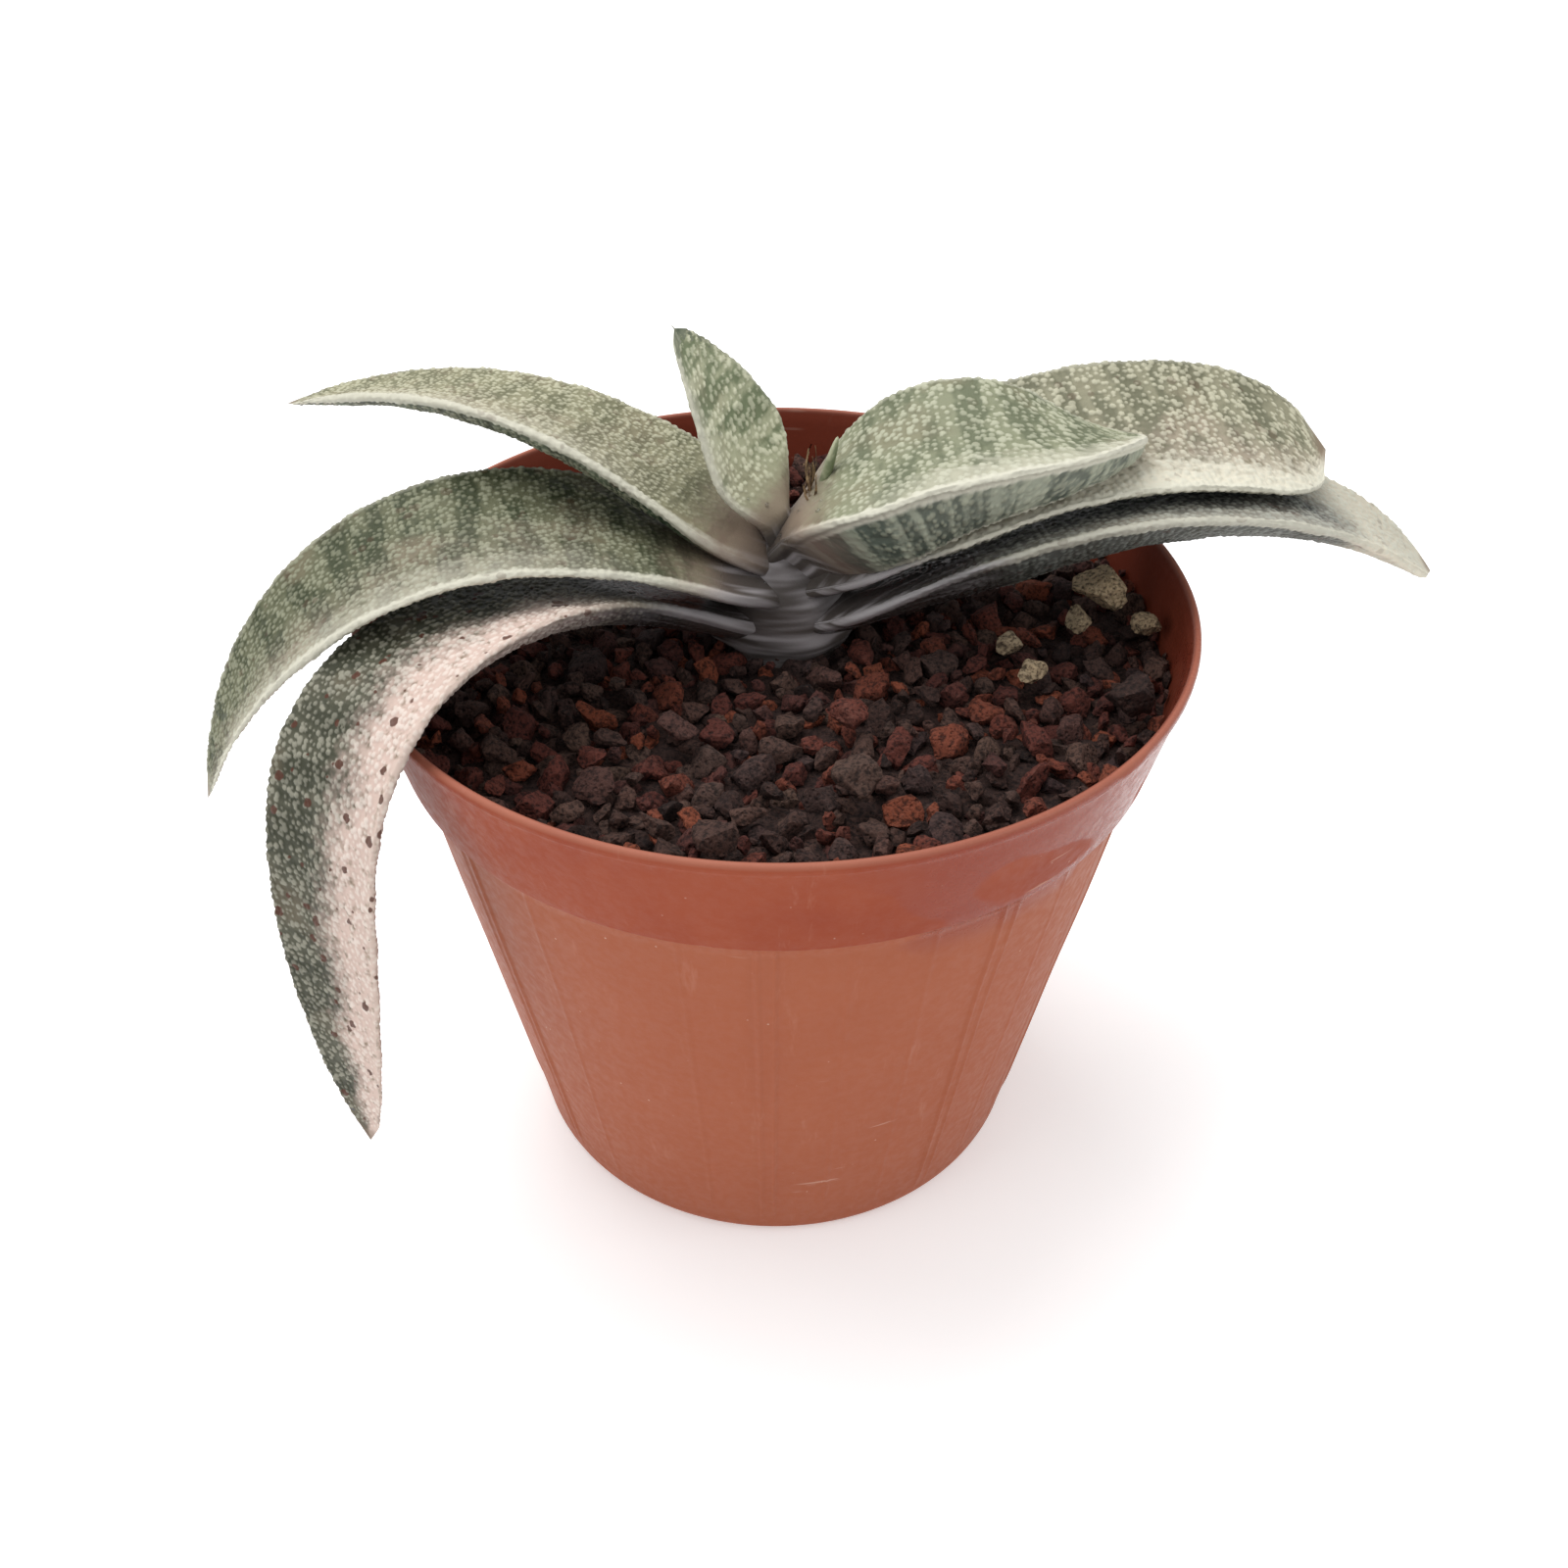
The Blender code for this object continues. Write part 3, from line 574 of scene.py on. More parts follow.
# %% Leaf material
TONES = {
    # dark, pale: bands and ground; wart: its colour; bands: how strong; edge, keel: pale lines;
    # bleach: front side; cream: a pale strip along the front; scars: how strong; tip: where a pale tip
    # begins; wet: where the wet base ends; dry: how brown the very end is; flank: stripes and ground below
    "leaf_left_3": dict(
        dark=(0.030, 0.033, 0.018), pale=(0.085, 0.084, 0.056), wart=(0.285, 0.275, 0.215),
        bands=0.75, edge=0.10, keel=0.2, bleach=1.0, cream=0.0, scars=1.0, tip=0.99, wet=0.20, dry=0.7,
        flank=((0.030, 0.034, 0.036), (0.10, 0.10, 0.11))),
    "leaf_left_2": dict(
        dark=(0.028, 0.038, 0.015), pale=(0.122, 0.126, 0.072), wart=(0.262, 0.268, 0.182),
        bands=0.80, edge=0.85, keel=0.2, bleach=0.10, cream=0.35, scars=0.3, tip=0.95, wet=0.11, dry=0.7,
        flank=((0.015, 0.035, 0.018), (0.045, 0.080, 0.045))),
    "leaf_left_1": dict(
        dark=(0.085, 0.090, 0.044), pale=(0.260, 0.250, 0.155), wart=(0.50, 0.485, 0.345),
        bands=0.55, edge=0.85, keel=0.2, bleach=0.10, cream=0.25, scars=0.3, tip=0.93, wet=0.05, dry=0.7,
        flank=((0.020, 0.040, 0.020), (0.060, 0.095, 0.055))),
    "leaf_centre": dict(
        dark=(0.125, 0.160, 0.080), pale=(0.440, 0.450, 0.300), wart=(0.68, 0.68, 0.50),
        bands=0.85, edge=0.70, keel=0.2, bleach=0.00, cream=0.3, scars=0.1, tip=0.97, wet=0.00, dry=0.0,
        flank=((0.060, 0.085, 0.050), (0.20, 0.22, 0.15))),
    "leaf_right_1": dict(
        dark=(0.082, 0.100, 0.052), pale=(0.240, 0.252, 0.160), wart=(0.46, 0.465, 0.34),
        bands=0.65, edge=1.00, keel=0.9, bleach=0.00, cream=0.5, scars=0.1, tip=0.97, wet=0.04, dry=0.0,
        flank=((0.080, 0.100, 0.078), (0.30, 0.325, 0.25))),
    "leaf_right_2": dict(
        dark=(0.085, 0.090, 0.050), pale=(0.270, 0.258, 0.175), wart=(0.52, 0.50, 0.37),
        bands=0.60, edge=1.00, keel=0.5, bleach=0.25, cream=1.0, scars=0.3, tip=0.95, wet=0.22, dry=0.7,
        flank=((0.016, 0.030, 0.026), (0.050, 0.070, 0.066))),
    # Painted shade: this leaf lies under leaf_right_2, and its dark, pale and wart colours are darkened to
    # stand for the shadow that leaf casts on it.
    "leaf_right_3": dict(
        dark=(0.020, 0.028, 0.026), pale=(0.070, 0.082, 0.076), wart=(0.22, 0.24, 0.21),
        bands=0.60, edge=0.70, keel=0.7, bleach=0.10, cream=0.3, scars=0.3, tip=0.72, wet=0.28, dry=0.7,
        flank=((0.014, 0.026, 0.022), (0.050, 0.066, 0.062))),
}
RIM_WHITE = (0.66, 0.64, 0.53)
CREAM = (0.74, 0.70, 0.57)
BLEACHED = (0.64, 0.485, 0.42)
BLEACHED_WART = (0.76, 0.66, 0.59)
PALE_TIP = (0.70, 0.64, 0.51)
TAN = (0.24, 0.18, 0.12)
DRY_END = (0.17, 0.105, 0.065)
PINK_BASE = (0.30, 0.20, 0.165)
WET_BASE = (0.058, 0.052, 0.049)
WET_STREAK = (0.37, 0.35, 0.36)
RUST = (0.085, 0.026, 0.014)


def skin_inputs(paint):
    """What the mesh carries, and the noises that several layers share."""
    at = {name: paint.attribute(name) for name in ("run", "front", "upper", "wart", "rim", "ridge")}
    skin = paint.attribute("skin", out=1)
    at["skin"] = skin
    at["mottle"] = paint.noise(skin, 600, 2, 0.6)
    at["patches"] = paint.noise(skin, 95, 2, 0.5)
    at["lines"] = paint.noise(paint.stretch(skin, (60, 900, 1)), 1, 2, 0.5)
    at["speck"] = paint.ramp(at["wart"] + 0.20 * (at["mottle"] - 0.5), 0.12, 0.75)
    return SimpleNamespace(**at)


def ground(paint, at, tone):
    """Dark bands on a paler ground above, stripes on the flanks below, and the warts on both."""
    banding = paint.noise(paint.stretch(at.skin, (250, 70, 1)), 1, 2, 0.5)
    banding = banding + 0.30 * (at.mottle - 0.5) + 0.35 * (at.patches - 0.5)
    band = paint.ramp(banding, 0.58, 0.40) * tone["bands"]
    colour = paint.mix(band, tone["pale"], tone["dark"])
    colour = paint.mix(paint.ramp(at.patches, 0.50, 0.70) * 0.30, colour, TAN)
    stripes = paint.noise(paint.stretch(at.skin, (330, 35, 1)), 1, 2, 0.5)
    flank = paint.mix(paint.ramp(stripes + 0.3 * (at.mottle - 0.5), 0.42, 0.58), *tone["flank"])
    colour = paint.mix(paint.ramp(at.upper, 0.6, 0.1), colour, flank)
    speck_strength = paint.ramp(at.upper, 0, 1, 0.40, 0.90) * paint.ramp(band, 0.2, 0.9, 1.0, 0.55)
    return paint.mix(at.speck * speck_strength, colour, tone["wart"])


def bleaching(paint, at, tone, colour):
    """The pinkish cream of an old leaf's lit side, and a cream strip along the front."""
    front_side = paint.ramp(at.front + 1.1 * (at.patches - 0.5) + 0.7 * (at.mottle - 0.5), -0.35, 0.60)
    bleach = front_side * paint.ramp(at.run, 0.16, 0.34) * paint.ramp(at.upper, 0, 1, 0.6, 1.0)
    bleach = bleach * tone["bleach"]
    skin_tone = paint.mix(paint.ramp(at.mottle, 0.2, 0.5), TAN, BLEACHED)
    colour = paint.mix(bleach * 0.95, colour, paint.mix(at.speck * 0.8, skin_tone, BLEACHED_WART))
    cream = paint.ramp(at.front + 0.5 * (at.mottle - 0.5) + 0.5 * (at.lines - 0.5), 0.35, 0.85)
    cream = cream * paint.ramp(at.run, 0.15, 0.5) * paint.ramp(at.upper, 0, 1, 0.2, 1.0)
    cream = cream * (0.9 * tone["cream"])
    return paint.mix(cream, colour, paint.mix(at.speck, CREAM, RIM_WHITE))


def pale_lines(paint, at, tone, colour):
    """The white rim, weaker on the far side, and the pale keel."""
    rim = paint.ramp(at.rim + 0.5 * (at.mottle - 0.5) + 0.8 * (at.lines - 0.5), 0.10, 0.75)
    near_side = paint.ramp(at.front, -0.1, 0.1, 0.35, 1.0)
    colour = paint.mix(rim * near_side * (0.9 * tone["edge"]), colour, RIM_WHITE)
    keel = paint.ramp(at.ridge + 0.3 * (at.mottle - 0.5), 0.15, 0.8) * paint.ramp(at.run, 0.05, 0.35)
    return paint.mix(keel * (0.8 * tone["keel"]), colour, RIM_WHITE)


def ends(paint, at, tone, colour):
    """The pale tip with its dry end, and the pink, then wet and streaky base. Also gives how wet it is."""
    ragged_run = at.run + 0.10 * (at.patches - 0.5) + 0.03 * (at.mottle - 0.5)
    tip = paint.ramp(ragged_run, tone["tip"], tone["tip"] + 0.10)
    colour = paint.mix(tip * 0.75, colour, paint.mix(at.speck, PALE_TIP, RIM_WHITE))
    dry_end = paint.ramp(at.run + 0.02 * (at.mottle - 0.5), 0.972, 0.992)
    colour = paint.mix(dry_end * tone["dry"], colour, DRY_END)
    pink = paint.ramp(at.run + 0.10 * (at.patches - 0.5) + 0.10 * (at.mottle - 0.5), 0.20, 0.06)
    colour = paint.mix(pink * 0.65, colour, PINK_BASE)
    wet = paint.ramp(at.run + 0.10 * (at.patches - 0.5), tone["wet"] + 0.04, tone["wet"] - 0.06)
    streaks = paint.noise(paint.stretch(at.skin, (45, 420, 1)), 1, 2, 0.5)
    streaky = paint.ramp(streaks + 0.25 * at.rim + 0.22 * at.ridge, 0.50, 0.76)
    tissue = paint.mix(streaky, WET_BASE, WET_STREAK)
    return paint.mix(wet * 0.9, colour, tissue), wet


def scars(paint, at, tone, colour):
    """Small rusty spots of different sizes. Their cells are flat, so that each one shows whole."""
    spots = paint.cells(at.skin, 230, "2D")
    spot_size = paint.ramp(paint.noise(at.skin, 200, 1, 0.5), 0.38, 0.68, 0.0, 0.20)
    scar = paint.ramp(spots + 0.08 * (at.mottle - 0.5) - spot_size, 0.01, -0.03) * tone["scars"]
    return paint.mix(scar * paint.ramp(at.run, 0.2, 0.3) * 0.9, colour, RUST)


def leaf_material(name, tone):
    paint = Paint(name + "_skin", IOR=1.42, Specular_IOR_Level=0.32)
    at = skin_inputs(paint)
    colour = ground(paint, at, tone)
    colour = bleaching(paint, at, tone, colour)
    colour = pale_lines(paint, at, tone, colour)
    colour, wet = ends(paint, at, tone, colour)
    colour = scars(paint, at, tone, colour)
    roughness = paint.ramp(wet, 0, 1, 0.56, 0.16) + 0.12 * (at.mottle - 0.5)
    fine = paint.noise(at.skin, 3500, 2, 0.6)
    normal = paint.bump(fine + 0.6 * at.mottle, 0.35, 0.0002)
    return paint.finish(Base_Color=colour, Roughness=roughness, Normal=normal)


for name, tone in TONES.items():
    leaf_objects[name].data.materials.append(leaf_material(name, tone))

# %% [markdown]
# ## The crown and the bud
# Where the leaves leave the stem their bases clasp each other, so the stem itself never shows. A plain
# cylinder between them would look like a peg. Instead the visible crown is a low, oval mound of the same
# wet tissue, wider towards the two rows of leaves, and every leaf base runs a few millimetres into it, as
# real leaf bases grow out of one another. The bud is a small lens-shaped leaf tip.

# %% Crown
CROWN_SIDES = 64


def turned_skin(name, centres, wide, thick, run, swelling=0.0):
    """A smooth upright body with oval, slightly lumpy rings that carries the same attributes as a leaf."""
    turns = np.linspace(0, 2 * math.pi, CROWN_SIDES, endpoint=False)
    level = 0 * wide[:, None] + 0 * turns
    rings = np.stack([wide[:, None] * np.cos(turns), thick[:, None] * np.sin(turns), level], -1)
    y = centres[:, 2:3] + 0 * turns
    uneven = lumps(y + 3 * MM * np.cos(turns), 9 * MM * np.sin(turns) + 0 * y, 5, 3 * MM) - 0.5
    rings = rings * (1 + swelling * uneven[..., None]) + centres[:, None]
    x = turns[None] * wide.max() + 0 * y
    flat = 0 * x
    attributes = {"skin": np.stack([x, y, flat + 0.3], -1), "run": flat + run[:, None], "front": flat,
                  "upper": flat + 1, "wart": flat, "rim": flat, "ridge": flat + 0.2}
    return ring_mesh(name, rings, centres[-1:], attributes, centres[:1])


CROWN_SWELLING = 0.16
CROWN_RUN = -0.02  # the share along a leaf that the crown counts as: before the start, so wet all over
stem_low, stem_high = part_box("stem")
stock_radius = (stem_high.x - stem_low.x) / 2
# heights over the lava in mm, and the crown's half width and half thickness there in stem radii
crown_steps = ((stem_low.z - LAVA_TOP) / MM, -24, -5, -2, 1, 3.5, 7, 9.5, 12, 14.5, 16.5)
crown_wide_radii = (0.6, 1.0, 1.0, 1.20, 1.62, 1.62, 1.42, 1.18, 0.86, 0.48, 0.08)
crown_thick_radii = (0.6, 1.0, 1.0, 1.04, 1.12, 1.10, 1.00, 0.88, 0.68, 0.40, 0.08)
rise = np.linspace(crown_steps[0], crown_steps[-1], 90) * MM
crown_centres = CROWN + np.stack([0 * rise, 0 * rise, rise], 1)
crown_wide = np.interp(rise / MM, crown_steps, crown_wide_radii) * stock_radius
crown_thick = np.interp(rise / MM, crown_steps, crown_thick_radii) * stock_radius
crown_run = 0 * rise + CROWN_RUN
crown = turned_skin("crown_tissue", crown_centres, crown_wide, crown_thick, crown_run, CROWN_SWELLING)
crown.data.materials.append(leaf_objects["leaf_left_3"].data.materials[0])
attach(crown, "root")
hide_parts("stem")
print("crown", tuple(round(x / MM, 1) for x in crown.dimensions))

# %% Bud
bud_low, bud_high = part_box("leaf_bud")
BUD_WIDE = 0.75 * MM
BUD_THICK = 1.5 * MM
share = np.linspace(0, 0.985, 40)
reach = np.sqrt(1 - share**2)
bud_start = np.array([bud_low.x + BUD_WIDE, (bud_low.y + bud_high.y) / 2, bud_low.z])
bud_end = np.array([bud_high.x - 0.1 * MM, bud_start[1], bud_high.z])
bud_centres = bud_start + (bud_end - bud_start) * share[:, None]
bud = turned_skin("leaf_bud_skin", bud_centres, BUD_WIDE * reach, BUD_THICK * reach, 0.3 + 0.6 * share)
bud.data.materials.append(leaf_objects["leaf_centre"].data.materials[0])
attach(bud, "root")
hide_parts("leaf_bud")
print("bud", tuple(round(x / MM, 1) for x in bud.dimensions))

# %% [markdown]
# ## The pot
# A nursery pot is moulded in thin plastic. Its outline can be turned from a profile, but a turned shape is
# too perfect: the mould leaves raised lines down the body, and the collar's lower edge carries a thin,
# uneven flash. So the profile is swept in fine steps, and each point is pushed out where a line or the
# flash stands. The drain holes are then cut with a Boolean.

# %% Pot outline
WALL = 1.2 * MM
FLOOR_THICK = 1.6 * MM
BASE_RADIUS = 41.5 * MM
COLLAR_HEIGHT = 17.5 * MM
COLLAR_FLARE = 4.0 * MM
COLLAR_STEP = 1.6 * MM
CORNER = 3 * MM
LIP = 0.6 * MM  # half the thickness of the rim's bead
CENTRE_HOLE = 0.35 * MM  # where the profile starts; a fan closes it
COLLAR_FOOT = POT_HEIGHT - COLLAR_HEIGHT
FLOOR_RINGS = (20 * MM, 34 * MM)
DRAIN_CIRCLE = 27 * MM
DRAIN_RADIUS = 4 * MM


def body_radius(z):
    top = RIM_RADIUS - COLLAR_FLARE - COLLAR_STEP
    return BASE_RADIUS + (top - BASE_RADIUS) * (z - CORNER) / (COLLAR_FOOT - CORNER)


def collar_radius(z):
    return RIM_RADIUS - COLLAR_FLARE * (POT_HEIGHT - z) / COLLAR_HEIGHT


def arc(centre, radius, start, end, count):
    """Points on an arc in the profile plane, angles in degrees."""
    angles = np.radians(np.linspace(start, end, count))
    return [(centre[0] + radius * math.cos(a), centre[1] + radius * math.sin(a)) for a in angles]


profile = [(r, 0) for r in (CENTRE_HOLE, *FLOOR_RINGS)]
profile += arc((BASE_RADIUS - CORNER, CORNER), CORNER, -90, 0, 8)
profile += [(body_radius(z), z) for z in np.linspace(CORNER + 1 * MM, COLLAR_FOOT - 0.5 * MM, 26)]
profile += arc((body_radius(COLLAR_FOOT) + 0.5 * MM, COLLAR_FOOT - 0.5 * MM), 0.5 * MM, 180, 90, 4)
profile += arc((collar_radius(COLLAR_FOOT) - 0.45 * MM, COLLAR_FOOT + 0.45 * MM), 0.45 * MM, -90, 0, 5)
profile += [(collar_radius(z), z) for z in np.linspace(COLLAR_FOOT + 1 * MM, POT_HEIGHT - 2.2 * MM, 10)]
profile += [(RIM_RADIUS - 0.30 * MM, POT_HEIGHT - 1.7 * MM), (RIM_RADIUS - 0.05 * MM, POT_HEIGHT - 1.4 * MM)]
profile += arc((RIM_RADIUS - LIP, POT_HEIGHT - LIP), LIP, 0, 180, 9)
inner_top = collar_radius(POT_HEIGHT - 1.2 * MM) - WALL
profile += [(inner_top, POT_HEIGHT - 1.2 * MM)]
inner_collar = np.linspace(POT_HEIGHT - 2.5 * MM, COLLAR_FOOT + 2 * WALL, 8)
profile += [(collar_radius(z) - WALL, z) for z in inner_collar]
profile += [(body_radius(z) - WALL, z) for z in np.linspace(COLLAR_FOOT, CORNER + FLOOR_THICK, 14)]
profile += [(body_radius(CORNER) - WALL - 2 * MM, FLOOR_THICK)]
profile += [(r, FLOOR_THICK) for r in (*reversed(FLOOR_RINGS), CENTRE_HOLE)]
profile = np.array(profile)
print(len(profile), "profile points")

# %% Pot mesh
POT_SIDES = 1080
EVEN_LINES = tuple(range(-91, 198, 36))  # degrees round the pot
STRONG_LINES = (-141, *EVEN_LINES)
FINE_LINES = (-127, -103, *[line + beside for line in EVEN_LINES[:-1] for beside in (12, 24)])


def line_height(turns, radius):
    """How far the mould's raised lines stand out, in mm, at an array of angles in degrees."""
    height = np.zeros_like(turns)
    for centre in STRONG_LINES:
        away = np.abs((turns - centre + 180) % 360 - 180) * math.pi / 180 * radius / MM
        pair = np.exp(-(((away - 1.1) / 0.28) ** 2))
        height = np.maximum(height, 0.34 * pair + 0.12 * (away < 1.1))
    for centre in FINE_LINES:
        away = np.abs((turns - centre + 180) % 360 - 180) * math.pi / 180 * radius / MM
        height = np.maximum(height, 0.13 * np.exp(-((away / 0.35) ** 2)))
    return height


turns = np.linspace(0, 360, POT_SIDES, endpoint=False)
radius = profile[:, :1] + 0 * turns
height = profile[:, 1:] + 0 * turns
outer = (np.arange(len(profile)) < np.argmax(profile[:, 1]))[:, None]
on_body = outer * np.clip((height - 4 * MM) / (4 * MM), 0, 1) * (height < COLLAR_FOOT - 0.2 * MM)
radius = radius + on_body * line_height(turns, 50 * MM) * MM
wave = lumps(turns * 0.35 * MM, 0 * turns, 21, 4 * MM) - 0.5
near_foot = np.exp(-(((height - COLLAR_FOOT - 0.2 * MM) / (0.5 * MM)) ** 2))
on_flash = outer * near_foot * (radius > body_radius(COLLAR_FOOT))
height = height - on_flash * (0.25 + 0.5 * wave) * 0.35 * MM
waviness = (lumps(turns * 1 * MM, height, 33, 18 * MM) - 0.5) * 0.3 * MM
radius = radius + waviness * outer * (height > 4 * MM) * (height < POT_HEIGHT - 3 * MM)
radius = np.minimum(radius, RIM_RADIUS)
angle = np.radians(turns)
rings = np.stack([radius * np.cos(angle), radius * np.sin(angle), height], -1)
pot = ring_mesh("pot_moulding", rings, [[0, 0, FLOOR_THICK]], {}, [[0, 0, 0]])

# %% Drain holes
DRAIN_HOLES = 6
cutter_mesh = bmesh.new()
for k in range(DRAIN_HOLES):
    turn = 2 * math.pi * k / DRAIN_HOLES
    place = Matrix.Translation((DRAIN_CIRCLE * math.cos(turn), DRAIN_CIRCLE * math.sin(turn), 0))
    bmesh.ops.create_cone(cutter_mesh, cap_ends=True, segments=64, radius1=DRAIN_RADIUS, radius2=DRAIN_RADIUS,
                          depth=4 * FLOOR_THICK, matrix=place)
cutter_data = bpy.data.meshes.new("drain_cutter")
cutter_mesh.to_mesh(cutter_data)
cutter_mesh.free()
cutter = bpy.data.objects.new("drain_cutter", cutter_data)
bpy.context.scene.collection.objects.link(cutter)
cut = pot.modifiers.new("drain_holes", "BOOLEAN")
cut.operation = "DIFFERENCE"
cut.solver = "EXACT"
cut.object = cutter
evaluated = pot.evaluated_get(bpy.context.evaluated_depsgraph_get())
pot.data = bpy.data.meshes.new_from_object(evaluated)
pot.modifiers.clear()
bpy.data.objects.remove(cutter)
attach(pot, "root")
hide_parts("pot")
print("pot", len(pot.data.vertices), "points")

# %% [markdown]
# ## Lava, grain by grain
# The top dressing is crushed lava: porous, angular grains from 3 to 7 mm, mostly dark brown, with maroon
# and brick red ones between. One bumpy surface would look like asphalt, and a physics drop of a thousand
# grains would take minutes. So the grains are placed by simple rules: big ones first, each at a spot that is
# still free, its top near the lava's surface, and pushed down where a leaf lies over it. A second, lower
# layer fills the gaps.

# %% Where the surface is
def tree_of(obj):
    points = [vertex.co for vertex in obj.data.vertices]
    return BVHTree.FromPolygons(points, [face.vertices for face in obj.data.polygons])


lava_tree = tree_of(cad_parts["lava_grit"])
leaf_trees = [tree_of(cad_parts[name]) for name in LEAVES]


def ground_height(x, y):
    """The lava's surface, the same over the hole round the stem as beside it."""
    hit = lava_tree.ray_cast(Vector((x, y, 1)), Vector((0, 0, -1)))[0]
    return hit.z if hit else LAVA_TOP


def leaf_underside(x, y):
    hits = [tree.ray_cast(Vector((x, y, 0)), Vector((0, 0, 1)))[0] for tree in leaf_trees]
    return min((hit.z for hit in hits if hit), default=1.0)


def free_height(x, y, radius):
    """The lowest leaf underside over a grain."""
    around = [(x + radius * math.cos(a), y + radius * math.sin(a)) for a in np.arange(6) * math.pi / 3]
    return min(leaf_underside(*place) for place in [(x, y), *around])


print("lava surface at the pot's middle:", round(ground_height(0.02, -0.03) / MM, 1), "mm")

# %% Shapes of broken stone
def ball(subdivisions):
    """Points and triangles of an icosphere of radius 1."""
    bm = bmesh.new()
    bmesh.ops.create_icosphere(bm, subdivisions=subdivisions, radius=1)
    points = np.array([vertex.co for vertex in bm.verts])
    faces = np.array([[vertex.index for vertex in face.verts] for face in bm.faces])
    bm.free()
    return points, faces


def unevenness(point, offset):
    """Two sizes of lumps."""
    return noise.noise(point * 2.0 + offset) + 0.65 * noise.noise(point * 5.3 + offset)


def broken_stone(points, seed, facets, pits):
    """A ball with flats knocked off it, then roughened."""
    draw = np.random.RandomState(seed)
    stone = points.copy()
    for _ in range(facets):
        normal = draw.normal(size=3)
        normal /= np.linalg.norm(normal)
        cut = draw.uniform(0.48, 0.82)
        beyond = np.maximum(stone @ normal - cut, 0)
        stone -= 0.96 * beyond[:, None] * normal
    stone *= draw.uniform((0.90, 0.60, 0.50), (1.25, 1.0, 0.85))
    offset = Vector(draw.uniform(-50, 50, 3))
    rough = np.array([unevenness(Vector(point), offset) for point in stone])
    stone *= 1 + pits * rough[:, None]
    return stone / np.abs(stone).max()


fine_ball = ball(4)
coarse_ball = ball(3)
STONE_SHAPES = [broken_stone(coarse_ball[0], seed, facets=14, pits=0.20) for seed in range(16)]
print(len(STONE_SHAPES), "stone shapes of", len(coarse_ball[0]), "points")

# %% Free spots
def named_stones(prefix):
    """CAD stones by name, with their middle and radius."""
    found = {}
    for name in sorted(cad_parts):
        if name.startswith(prefix):
            low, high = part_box(name)
            found[name] = ((low + high) / 2, (high.x - low.x) / 2)
    return found


def pick_spots(draw, tries, radii, taken, closeness):
    """Random spots inside the pot that keep their distance from those already taken."""
    spots = []
    for _ in range(tries):
        radius = draw.triangular(*radii) * MM
        reach = (inner_top - 0.9 * radius) * math.sqrt(draw.uniform())
        turn = draw.uniform(0, 2 * math.pi)
        x = reach * math.cos(turn)
        y = reach * math.sin(turn)
        if all((x - a) ** 2 + (y - b) ** 2 > (closeness * (radius + r)) ** 2 for a, b, r in taken):
            spots.append((x, y, radius))
            taken.append((x, y, radius))
    return spots


# Each call gives the number of tries, the smallest, usual and largest radius in mm, the spots that are taken,
# and how close two grains may be, where 1 is touching.
draw = np.random.RandomState(11)
large_stones = named_stones("pumice_stone") | named_stones("lava_stone")
taken = [(middle.x, middle.y, 0.8 * radius) for middle, radius in large_stones.values()]
top_spots = pick_spots(draw, 500, (2.6, 2.9, 3.7), taken, 0.74)
top_spots += pick_spots(draw, 3000, (1.8, 2.2, 2.7), taken, 0.72)
top_spots += pick_spots(draw, 3000, (1.1, 1.4, 1.8), taken, 0.74)
low_spots = pick_spots(draw, 3000, (1.8, 2.2, 2.8), [], 0.58)
print(len(top_spots), "grains on top,", len(low_spots), "below")

# %% The lava piece
def turned_any_way(draw):
    """A random rotation matrix."""
    matrix, _ = np.linalg.qr(draw.normal(size=(3, 3)))
    return matrix


LEAF_CLEARANCE = 0.3 * MM
WALL_CLEARANCE = 0.1 * MM


def heap(spots, sink, draw):
    """Grain meshes with their tops near the surface: points, faces and a tint for each point."""
    all_points = []
    all_faces = []
    all_tints = []
    count = 0
    for x, y, radius in spots:
        shape = STONE_SHAPES[draw.randint(len(STONE_SHAPES))] @ turned_any_way(draw).T * radius
        top = ground_height(x, y) + (draw.uniform(*sink) + 0.25 * (radius / MM - 2)) * MM
        top = min(top, free_height(x, y, radius) - LEAF_CLEARANCE)
        shape = shape + [x, y, top - shape[:, 2].max()]
        out = np.hypot(shape[:, 0], shape[:, 1])
        wall = np.interp(shape[:, 2], (COLLAR_FOOT, POT_HEIGHT), (inner_top - COLLAR_FLARE, inner_top))
        shape[:, :2] *= np.minimum(1, (wall - WALL_CLEARANCE) / np.maximum(out, 1e-6))[:, None]
        all_points.append(shape)
        all_faces.append(coarse_ball[1] + count)
        all_tints.append(np.full(len(shape), draw.uniform()))
        count += len(shape)
    return np.vstack(all_points), np.vstack(all_faces), np.concatenate(all_tints)


BED_RINGS = 40
BED_SIDES = 90


def bed():
    """A dark, bumpy floor under the grains, so that no gap between them shows the soil."""
    turns = np.linspace(0, 2 * math.pi, BED_SIDES, endpoint=False)
    points = []
    for reach in np.linspace(0.5 * MM, inner_top - 1.2 * MM, BED_RINGS):
        for turn in turns:
            x = reach * math.cos(turn)
            y = reach * math.sin(turn)
            low = min(ground_height(x, y) - 2.6 * MM, leaf_underside(x, y) - 2 * MM)
            points.append((x, y, low + 0.5 * MM * noise.noise(Vector((x, y, 0)) / (1.5 * MM))))
    index = np.arange(BED_RINGS * BED_SIDES).reshape(BED_RINGS, BED_SIDES)
    after = np.roll(index, -1, 1)
    quads = np.stack([index[:-1], index[1:], after[1:], after[:-1]], -1).reshape(-1, 4)
    return np.array(points), np.vstack([quads[:, :3], quads[:, [0, 2, 3]]])


SHARP_ANGLE = math.radians(32)


